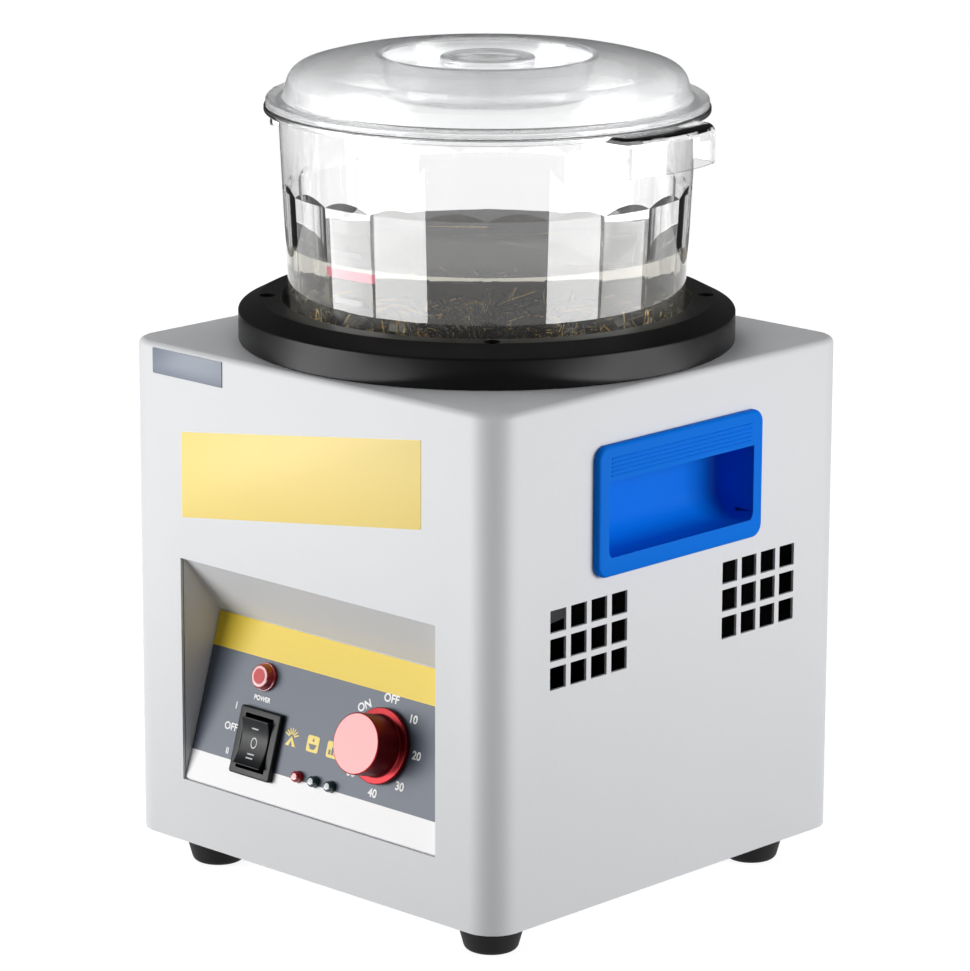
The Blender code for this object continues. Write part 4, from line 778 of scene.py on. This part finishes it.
knob = dict(low=0.0014, height=0.0165, face=0.0131, skirt=0.0170, skirtHeight=0.0026, barrel=0.0137, edge=0.0005,
            hollow=0.0088, hollowTo=0.008, bore=0.0033, boreTo=0.0149)


def makeKnob():
    k = knob
    top, skirtTop = k["low"] + k["height"], k["low"] + k["skirtHeight"]
    line = roundOff([(0, top - 0.0001), (k["barrel"] - 0.0012, top - 0.0001, 0.0002),
                     (k["barrel"] - 0.0010, top, 0.0002), (k["barrel"], top, k["edge"]),
                     (k["barrel"], skirtTop, 0.0006), (k["skirt"], skirtTop - 0.0002, 0.0005),
                     (k["skirt"], k["low"], 0.0002), (k["hollow"], k["low"]), (k["hollow"], k["hollowTo"]),
                     (k["bore"], k["hollowTo"]), (k["bore"], k["boreTo"]), (0, k["boreTo"])],
                    step=math.radians(15))
    bm = turnProfile(line, 96)
    addPiece("timer.knob", onPanel(bm, dial["x"], dial["up"], lift=-panel["face"]), finishes["red"], "timer_dial",
             ["timer_knob"], 25)
    inlay = turnProfile([(0, top - 0.00015), (k["face"], top - 0.00015), (k["face"], top + 0.00003),
                         (0, top + 0.00003)], 96)
    pale = drawn("paleRedFace", (0.80, 0.30, 0.30), 0.94, (1500, 1500, 1500), (0.42, 0.5), 0.1, 0.04)
    addPiece("timer.face", onPanel(inlay, dial["x"], dial["up"], lift=-panel["face"]), pale, "timer_dial",
             (), 30)


switch = dict(x=-0.0385, up=0.0247, width=0.0260, length=0.0310, low=0.0011, top=0.0036, bodyWidth=0.0220,
              bodyLength=0.0275, bodyBack=-0.020, wellX=0.0091, wellY=0.01255, wellFloor=-0.0108, rockerWidth=0.0170,
              rockerLength=0.0215, crest=0.0066, dip=0.0026, pivot=-0.003, keel=-0.0075, pinRadius=0.0015,
              pinReach=0.0094, pinGap=0.0003)


def crossPin(gap):
    reach, radius = switch["pinReach"] + gap, switch["pinRadius"] + gap
    pin = turnProfile([(0, -reach), (radius, -reach), (radius, reach), (0, reach)], 24)
    return moved(pin, Matrix.Translation((0, 0, switch["pivot"])) @ Matrix.Rotation(math.pi / 2, 4, "Y"))


def makeSwitch():
    s = switch
    bezel = roundedSlab(s["width"], s["length"], 0.0012, s["low"], s["top"])
    softenEdges(bezel, rimEdges(bezel, s["top"]), 0.0008, 4)
    body = blockBetween((-s["bodyWidth"] / 2, s["bodyWidth"] / 2), (-s["bodyLength"] / 2, s["bodyLength"] / 2),
                        (s["bodyBack"], (s["low"] + s["top"]) / 2))
    bm = carved(bezel, [body], "UNION")
    well = roundedSlab(2 * s["wellX"], 2 * s["wellY"], 0.0006, s["wellFloor"], s["top"] + 0.002)
    bm = carved(bm, [well])
    bm = carved(bm, [crossPin(s["pinGap"])])
    addPiece("switch.body", onPanel(bm, s["x"], s["up"], lift=-panel["face"]), finishes["black"], "housing",
             ["switch_body"], 30)
    end = s["rockerLength"] / 2
    face = [(end * (k / 12), s["crest"] - s["dip"] * (1 - (k / 12) ** 2)) for k in range(-12, 13)]
    side = [(end, s["pivot"])] + face[::-1] + [(-end, s["pivot"]), (0, s["keel"])]
    rocker = alongWall([(y, z) for y, z in side], s["rockerWidth"] / 2)
    caps = [e for e in rocker.edges if all(abs(abs(v.co.x) - s["rockerWidth"] / 2) < 1e-6 for v in e.verts)]
    softenEdges(rocker, caps, 0.0004, 2)
    rocker = carved(rocker, [crossPin(0)], "UNION")
    addPiece("switch.rocker", onPanel(rocker, s["x"], s["up"], lift=-panel["face"]), finishes["black"], "rocker",
             ["switch_rocker"], 20)
    # the marks follow the dished face
    marks = []
    for up in (0.0064, -0.0052, -0.0070):
        marks.append(blockBetween((-0.0021, 0.0021), (up - 0.0003, up + 0.0003), (-0.0001, 0.0)))
    ring = turnProfile([(0.0017, -0.0001), (0.0022, -0.0001), (0.0022, 0.0), (0.0017, 0.0)], 40, True)
    bmesh.ops.scale(ring, vec=(0.85, 1.15, 1), verts=ring.verts)
    marks.append(ring)
    bm = gathered(marks)
    for vert in bm.verts:
        dished = s["crest"] - s["dip"] * (1 - (vert.co.y / end) ** 2)
        vert.co.z += dished + 0.00006
    grey = printed("rockerPrint", (0.62, 0.63, 0.64))
    addPiece("switch.marks", onPanel(bm, s["x"], s["up"], lift=-panel["face"]), grey, "rocker", (),
             40)


lamp = dict(x=-0.0420, up=0.0546, low=0.0011, flange=0.0065, flangeTop=0.0023, base=0.0059, face=0.0053, top=0.0057,
            spot=0.0036, stem=0.0042, stemEnd=-0.0099)
lights = dict(up=0.0156, radius=0.0025, crown=0.0042, rim=0.0031, behind=-0.0018, tail=-0.007,
              places=[("indicator_1", -0.0101), ("indicator_2", 0.00025), ("indicator_3", 0.0106)])


def lensFinish(name, deep, shade, gloss, glow=0.0, coat=0.6, shine=0.5):
    material, tree, shader, where = newMaterial(name)
    cloud = noiseNode(tree, where, 420, 2)
    tint = tree.nodes.new("ShaderNodeMix")
    tint.data_type = "RGBA"
    tint.inputs["A"].default_value = (*deep, 1)
    tint.inputs["B"].default_value = (*shade, 1)
    link(tree, cloud, tint.inputs["Factor"])
    link(tree, tint.outputs[2], shader.inputs["Base Color"])
    shader.inputs["Roughness"].default_value = gloss
    shader.inputs["Specular IOR Level"].default_value = shine
    shader.inputs["Coat Weight"].default_value = coat
    shader.inputs["Coat Roughness"].default_value = 0.06
    shader.inputs["Emission Color"].default_value = (*shade, 1)
    shader.inputs["Emission Strength"].default_value = glow
    return material


def makeLights():
    l = lamp
    line = roundOff([(0, l["top"]), (l["face"], l["top"], 0.0009), (l["base"], l["flangeTop"], 0.0003),
                     (l["flange"], l["flangeTop"], 0.0004), (l["flange"], l["low"]), (l["stem"], l["low"]),
                     (l["stem"], l["stemEnd"]), (0, l["stemEnd"])], step=math.radians(12))
    redLens = lensFinish("redLens", (0.22, 0.002, 0.006), (0.45, 0.006, 0.014), 0.22, 0.05)
    addPiece("lamp.lens", onPanel(turnProfile(line, 56), l["x"], l["up"], lift=-panel["face"]), redLens, "housing",
             ["lamp_lens"], 30)
    spot = turnProfile([(0, l["top"] - 0.0001), (l["spot"], l["top"] - 0.0001),
                        (l["spot"] - 0.0002, l["top"] + 0.00012), (0, l["top"] + 0.00012)], 56)
    pale = lensFinish("paleLensFace", (0.60, 0.08, 0.09), (0.72, 0.11, 0.12), 0.4, coat=0.0, shine=0.1)
    addPiece("lamp.face", onPanel(spot, l["x"], l["up"], lift=-panel["face"]), pale, "housing", (), 30)
    teal = lensFinish("tealLens", (0.010, 0.040, 0.045), (0.022, 0.075, 0.080), 0.2)
    d = lights
    for node, x in d["places"]:
        line = roundOff([(0, d["crown"]), (d["radius"], d["crown"], d["radius"] * 0.98), (d["radius"], d["behind"]),
                         (d["rim"], d["behind"]), (d["rim"], d["behind"] - 0.0012),
                         (d["radius"], d["behind"] - 0.0012), (d["radius"], d["tail"]), (0, d["tail"])],
                        step=math.radians(10))
        finish, slot = (redLens, "red_lens") if node == "indicator_1" else (teal, "dark_green_lens")
        addPiece(node.replace("_", "."), onPanel(turnProfile(line, 32), x, d["up"], lift=-panel["face"]), finish,
                 "housing", [node], 35)


makeKnob()
makeSwitch()
makeLights()
print("controls made")


# bowl seat, bowl, lid and load

seat = dict(z=0.2473, floor=0.003, height=0.0185, wall=0.0135, bore=0.0923, flat=0.1020, outer=0.1117,
            screwCircle=0.0985, sink=0.0037, sinkDepth=0.005, screwBore=0.0023)


def makeSeat():
    s = seat
    line = roundOff([(0, s["floor"]), (s["bore"], s["floor"], 0.0012), (s["bore"], s["height"], 0.0008),
                     (s["flat"], s["height"], 0.0012), (s["outer"], s["wall"], 0.0014), (s["outer"], 0, 0.0006),
                     (0, 0)], step=math.radians(12))
    bm = turnProfile(line, 144)
    sinkFloor = s["height"] - s["sinkDepth"]
    for k in range(4):
        a = math.pi / 4 + k * math.pi / 2
        place = Matrix.Translation((s["screwCircle"] * math.cos(a), s["screwCircle"] * math.sin(a), 0))
        for radius, low, high, steps in ((s["sink"], sinkFloor, s["height"] + 0.002, 32),
                                         (s["screwBore"], -0.001, sinkFloor + 0.001, 20)):
            hole = turnProfile([(0, low), (radius, low), (radius, high), (0, high)], steps)
            bm = carved(bm, [moved(hole, place)])
    moved(bm, Matrix.Translation((0, 0, s["z"])))
    addPiece("bowl.seat", bm, finishes["top"], "housing", ["bowl_seat"], 26)


# the last entry is the grey that the painted shade reaches at the ears' outer ends
bowl = dict(z=0.2506, height=0.1024, footRadius=0.0882, topRadius=0.0932, wall=0.0026, floor=0.003, corner=0.009,
            overhang=0.0064, rim=0.0026, facets=21, columns=12, facetLow=0.015, facetTop=0.0654, arch=0.0036,
            turn=math.radians(-46.3), earTurn=math.radians(2.6), earRadius=0.1105, earWidth=0.062, earHeight=0.0176,
            earWall=0.0022, earCorner=0.0055, earEdge=0.004, earInner=0.0933, earPaintedShade=0.88)


def wallRadius(height):
    b = bowl
    share = (height - b["corner"]) / (b["height"] - b["rim"] - b["corner"])
    return b["footRadius"] + (b["topRadius"] - b["footRadius"]) * share


def cutFacets(bm):
    # flattens the inner wall between the cusps and draws an arch over each flat
    b = bowl
    step = 2 * math.pi / b["facets"]
    for vert in bm.verts:
        radius, height = math.hypot(vert.co.x, vert.co.y), vert.co.z
        if radius < 1e-6 or radius > wallRadius(height) - b["wall"] / 2:
            continue
        across = (math.atan2(vert.co.y, vert.co.x) % step) - step / 2
        if b["facetLow"] - 1e-6 < height < b["facetTop"] + 1e-6:
            flat = math.cos(step / 2) / math.cos(across)
            vert.co.x *= flat
            vert.co.y *= flat
        elif abs(height - b["facetTop"] - b["arch"]) < 1e-6:
            height = b["facetTop"] + b["arch"] * (1 - (2 * across / step) ** 2)
            scale = (wallRadius(height) - b["wall"]) / radius
            vert.co = (vert.co.x * scale, vert.co.y * scale, height)
    bmesh.ops.remove_doubles(bm, verts=bm.verts, dist=1e-6)


def earOutline(inset, inner):
    b = bowl
    radius, half = b["earRadius"] - inset, b["earWidth"] / 2 - inset
    cornerX = math.sqrt(radius ** 2 - half ** 2)
    bow = [(math.sqrt(radius ** 2 - (half * t) ** 2), half * t) for t in (-0.75, -0.5, -0.25, 0, 0.25, 0.5, 0.75)]
    curve = b["earCorner"] - inset
    return roundOff([(inner, -half), (cornerX, -half, curve), *bow, (cornerX, half, curve), (inner, half)], True)


def makeBowl():
    b = bowl
    under, rim = b["height"] - b["rim"], b["topRadius"] + b["overhang"]
    peak = b["facetTop"] + b["arch"]
    levels = [b["facetLow"] + (b["facetTop"] - b["facetLow"]) * k / 4 for k in range(5)]
    wall = b["wall"]
    line = roundOff([(0, 0), (b["footRadius"], 0, b["corner"]), (b["topRadius"], under, 0.0012), (rim, under, 0.0006),
                     (rim, b["height"], 0.0009), (b["topRadius"] - wall, b["height"], 0.0006),
                     (wallRadius(peak) - wall, peak), *[(wallRadius(z) - wall, z) for z in levels[::-1]],
                     (b["footRadius"] - wall, b["floor"], b["corner"] - wall), (0, b["floor"])])
    bm = turnProfile(line, b["facets"] * b["columns"])
    cutFacets(bm)
    moved(bm, Matrix.Rotation(b["turn"], 4, "Z"))
    top = b["height"] - 0.0004
    low = under - b["earHeight"] + b["earWall"]
    for side in (0, math.pi):
        ear = drawOut(earOutline(0, b["earInner"]), low, top)
        softenEdges(ear, rimEdges(ear, top), b["earEdge"], 5)
        inside = drawOut(earOutline(b["earWall"], b["earInner"] - b["earWall"]), low - b["earWall"], under + 0.0004)
        ear = carved(ear, [inside])
        bm = carved(bm, [moved(ear, Matrix.Rotation(b["earTurn"] + side, 4, "Z"))], "UNION")
    moved(bm, Matrix.Translation((0, 0, b["z"])))
    addPiece("bowl.clear", bm, finishes["clear"], "bowl", ["bowl"], 9)


lid = dict(z=0.3533, flange=0.0988, thick=0.003, wall=0.0026, spigot=0.0900, spigotDrop=0.004, foot=0.0913,
           shoulder=(0.0880, 0.0155), brow=(0.0700, 0.0205), well=(0.0470, 0.0223), wellFloor=(0.0430, 0.0068),
           knob=0.0213, knobTop=0.0211, knobThick=0.0042, stem=0.0135)


def makeLid():
    l = lid
    wall, top = l["wall"], l["knobTop"]
    line = roundOff([(0, top - 0.0016), (0.0060, top - 0.0015, 0.004), (0.0125, top - 0.0002, 0.006),
                     (l["knob"], top, 0.0014), (l["knob"], top - l["knobThick"], 0.0012),
                     (l["stem"], top - l["knobThick"], 0.002), (l["stem"], l["wellFloor"][1], 0.002),
                     (*l["wellFloor"], 0.003), (*l["well"], 0.0016), (*l["brow"], 0.07), (*l["shoulder"], 0.010),
                     (l["foot"], l["thick"], 0.0012), (l["flange"], l["thick"], 0.0012), (l["flange"], 0, 0.0006),
                     (l["spigot"], 0), (l["spigot"], -l["spigotDrop"], 0.0004),
                     (l["spigot"] - wall, -l["spigotDrop"], 0.0004),
                     (l["shoulder"][0] - wall, l["shoulder"][1] - wall, 0.0075),
                     (l["brow"][0], l["brow"][1] - wall, 0.067), (l["well"][0] + wall, l["well"][1] - wall),
                     (l["wellFloor"][0] + wall, l["wellFloor"][1] - wall, 0.003), (0, l["wellFloor"][1] - wall)])
    bm = moved(turnProfile(line, 180), Matrix.Translation((0, 0, l["z"])))
    addPiece("lid.clear", bm, finishes["milky"], "lid", ["lid"], 22)


# over the bowl's underside; how far it wets into the wall; what a long look through it leaves
water = dict(level=0.0409, bite=0.00012, murk=(0.66, 0.64, 0.55), density=7.0)


def quietWetWall(material, isBowl):
    # where plastic and water touch, next to nothing is mirrored
    tree, w = material.node_tree, water
    where = tree.nodes.new("ShaderNodeTexCoord")
    axes = axesOf(tree, where.outputs["Object"])
    height = mathNode(tree, "SUBTRACT", axes["Z"], bowl["z"])
    wet = mathNode(tree, "LESS_THAN", height, w["level"] - 0.0002)
    if isBowl:
        x, y = (mathNode(tree, "MULTIPLY", axes[axis], axes[axis]) for axis in "XY")
        radius = mathNode(tree, "SQRT", mathNode(tree, "ADD", x, y))
        slope = (wallRadius(w["level"]) - wallRadius(0)) / w["level"]
        limit = mathNode(tree, "ADD", mathNode(tree, "MULTIPLY", height, slope), wallRadius(0) - bowl["wall"] / 2)
        wet = mathNode(tree, "MULTIPLY", wet, mathNode(tree, "LESS_THAN", radius, limit))
        wet = mathNode(tree, "MULTIPLY", wet, mathNode(tree, "GREATER_THAN", height, bowl["floor"] / 2))
    mirrored = mathNode(tree, "SUBTRACT", 1.0, mathNode(tree, "MULTIPLY", wet, 0.9))
    link(tree, mirrored, tree.nodes["Principled BSDF"].inputs["Specular Tint"])


def paintedShadeEars(material):
    # painted shade: the clear plastic is greyed towards the outer ends of the ears, standing in for their grey
    # shading
    tree = material.node_tree
    base = tree.nodes["Principled BSDF"].inputs["Base Color"]
    where = tree.nodes.new("ShaderNodeTexCoord")
    out = mathNode(tree, "ABSOLUTE", axesOf(tree, where.outputs["Object"])["X"])
    ear = tree.nodes.new("ShaderNodeMapRange")
    ear.inputs["From Min"].default_value = bowl["earInner"]
    ear.inputs["From Max"].default_value = bowl["earRadius"]
    ear.inputs["To Min"].default_value = base.default_value[1]
    ear.inputs["To Max"].default_value = bowl["earPaintedShade"]
    link(tree, out, ear.inputs["Value"])
    link(tree, ear.outputs["Result"], base)


def makeWater():
    b, w = bowl, water
    heights = [b["facetLow"], w["level"]]
    line = roundOff([(0, b["floor"] - w["bite"]), (b["footRadius"] - b["wall"] + w["bite"], b["floor"] - w["bite"],
                     b["corner"] - b["wall"]), *[(wallRadius(z) - b["wall"] + w["bite"], z) for z in heights],
                     (0, w["level"])])
    bm = turnProfile(line, b["facets"] * b["columns"])
    cutFacets(bm)
    moved(bm, Matrix.Translation((0, 0, b["z"])) @ Matrix.Rotation(b["turn"], 4, "Z"))
    tree = finishes["water"].node_tree
    murk = tree.nodes.new("ShaderNodeVolumeAbsorption")
    murk.inputs["Color"].default_value = (*w["murk"], 1)
    murk.inputs["Density"].default_value = w["density"]
    link(tree, murk.outputs[0], tree.nodes["Material Output"].inputs["Volume"])
    quietWetWall(finishes["water"], False)
    quietWetWall(finishes["clear"], True)
    # painted shade on the ears
    paintedShadeEars(finishes["clear"])
    addPiece("load.water", bm, finishes["water"], "bowl", (), 30)


pins = dict(radius=0.0002, length=0.0072, reach=0.0815, seed=7, heaps=[
    # middle x, y, half length and half depth across the view, strands, pins in a strand, share of gold ones
    (0.036, -0.038, 0.025, 0.011, 420, (2, 4), 0.05),
    (0.013, -0.060, 0.008, 0.006, 90, (1, 2), 0.5),
    (0.058, -0.022, 0.010, 0.006, 110, (1, 2), 0.5),
    (-0.026, -0.068, 0.018, 0.006, 150, (1, 2), 0.35),
    (0.066, 0.026, 0.022, 0.006, 150, (1, 2), 0.5),
    (-0.046, 0.046, 0.036, 0.010, 180, (1, 2), 0.2)])


def makePins():
    # strands of pins stand end on end over the magnets and fan out
    rng = random.Random(pins["seed"])
    sideways = Vector((math.cos(math.radians(camera["azimuth"])), math.sin(math.radians(camera["azimuth"])), 0))
    away = Vector((-sideways.y, sideways.x, 0))
    floor = bowl["z"] + bowl["floor"] + 2 * pins["radius"]
    both = {"steel": bmesh.new(), "gold": bmesh.new()}
    length = pins["length"]
    for x, y, half, deep, strands, stack, share in pins["heaps"]:
        for _ in range(strands):
            u, v = max(-1, min(1, rng.gauss(0, 0.5))), max(-1, min(1, rng.gauss(0, 0.5)))
            point = Vector((x, y, floor)) + sideways * (u * half) + away * (v * deep)
            if point.xy.length > pins["reach"]:
                point.xy = point.xy.normalized() * pins["reach"]
            aim = Vector((0, 0, 1)) + sideways * (1.5 * u + rng.gauss(0, 0.35)) + away * (v + rng.gauss(0, 0.35))
            for _ in range(rng.randint(*stack)):
                aim = (aim.normalized() + Vector((rng.gauss(0, 0.3), rng.gauss(0, 0.3), rng.gauss(-0.12, 0.2))))
                aim.z = max(aim.z, 0.05)
                aim.normalize()
                if (point + aim * length).xy.length > pins["reach"]:
                    aim = Vector((-point.x, -point.y, abs(aim.z) * point.xy.length)).normalized()
                turn = aim.to_track_quat("Z", "Y").to_matrix().to_4x4()
                place = Matrix.Translation(point + aim * length / 2) @ turn
                bmesh.ops.create_cone(both["gold" if rng.random() < share else "steel"], cap_ends=True, segments=5,
                                      radius1=pins["radius"], radius2=pins["radius"], depth=length, matrix=place)
                point = point + aim * length * 0.85
    dark = drawn("pinSteel", (0.035, 0.032, 0.028), 0.5, (300, 300, 300), (0.25, 0.4))
    addPiece("load.steelPins", both["steel"], dark, "bowl", (), 40)
    gold = drawn("pinGold", (0.86, 0.60, 0.24), 0.5, (300, 300, 300), (0.22, 0.36), 0.88)
    addPiece("load.goldPins", both["gold"], gold, "bowl", (), 40)


levelMarks = dict(lift=0.00008, columns=8, bars=[(0.0467, 0.0022, -93.8, -83.4), (0.0256, 0.0026, -94.3, -83.7)],
                  strip=(0.0376, 0.0042, -97.3, -78.6))


def makeLevelMarks():
    # two dark level bars and a red strip, printed on the outside of the wall
    b, m = bowl, levelMarks

    def onWall(angle, height):
        radius = wallRadius(height) + m["lift"]
        a = math.radians(angle)
        return Vector((radius * math.cos(a), radius * math.sin(a), b["z"] + height))

    for name, marks, colour in (("bowl.levelBars", m["bars"], (0.22, 0.22, 0.23)),
                                ("bowl.levelStrip", [m["strip"]], (0.55, 0.12, 0.17))):
        shapes = []
        for height, tall, first, last in marks:
            bm = bmesh.new()
            angles = [first + (last - first) * k / m["columns"] for k in range(m["columns"] + 1)]
            pairs = [[bm.verts.new(onWall(a, height + rise)) for rise in (-tall / 2, tall / 2)] for a in angles]
            faces = [bm.faces.new((here[0], there[0], there[1], here[1])) for here, there in zip(pairs, pairs[1:])]
            bmesh.ops.solidify(bm, geom=faces, thickness=-0.00005)
            bmesh.ops.recalc_face_normals(bm, faces=bm.faces)
            shapes.append(bm)
        ink = printed(name[5:] + "Ink", colour, 0.9, (0.4, 0.5))
        addPiece(name, gathered(shapes), ink, "bowl", (), 40)


makeSeat()
makeBowl()
makeLid()
makeWater()
makePins()
makeLevelMarks()
print("seat, bowl, lid and load made")


# CAD nodes that stay, each with its finish

kept = dict(
    coat=["recess_tray"], zinc=["base_plate"], black=["timer_body", "lamp_holder", "cooling_fan", "board_carrier",
                                                     "capacitor_clip", "power_inlet"],
    brass=["timer_nut", "inlet_pin_line", "inlet_pin_neutral", "inlet_pin_earth"],
    steel=["timer_shaft", "motor_plate", "bearing_upper", "bearing_lower", "inlet_screw_1", "inlet_screw_2"],
    iron=["motor_can", "rotor"], alloy=["motor_bell_upper", "motor_bell_lower", "magnet_disc", "run_capacitor"],
    board=["control_board"])
kept["zinc"] += ["standoff_%d" % k for k in (1, 2, 3, 4)]
kept["zinc"] += ["foot_screw_" + c for c in ("front_left", "front_right", "rear_left", "rear_right")]
kept["darkSteel"] = ["seat_screw_%d" % k for k in (1, 2, 3, 4)]
kept["nickel"] = ["magnet_%d" % k for k in (1, 2, 3, 4)]
for finish, names in kept.items():
    for name in names:
        nodes[name].data.materials.clear()
        nodes[name].data.materials.append(finishes[finish])
print("carried-over nodes finished:", sum(len(names) for names in kept.values()))
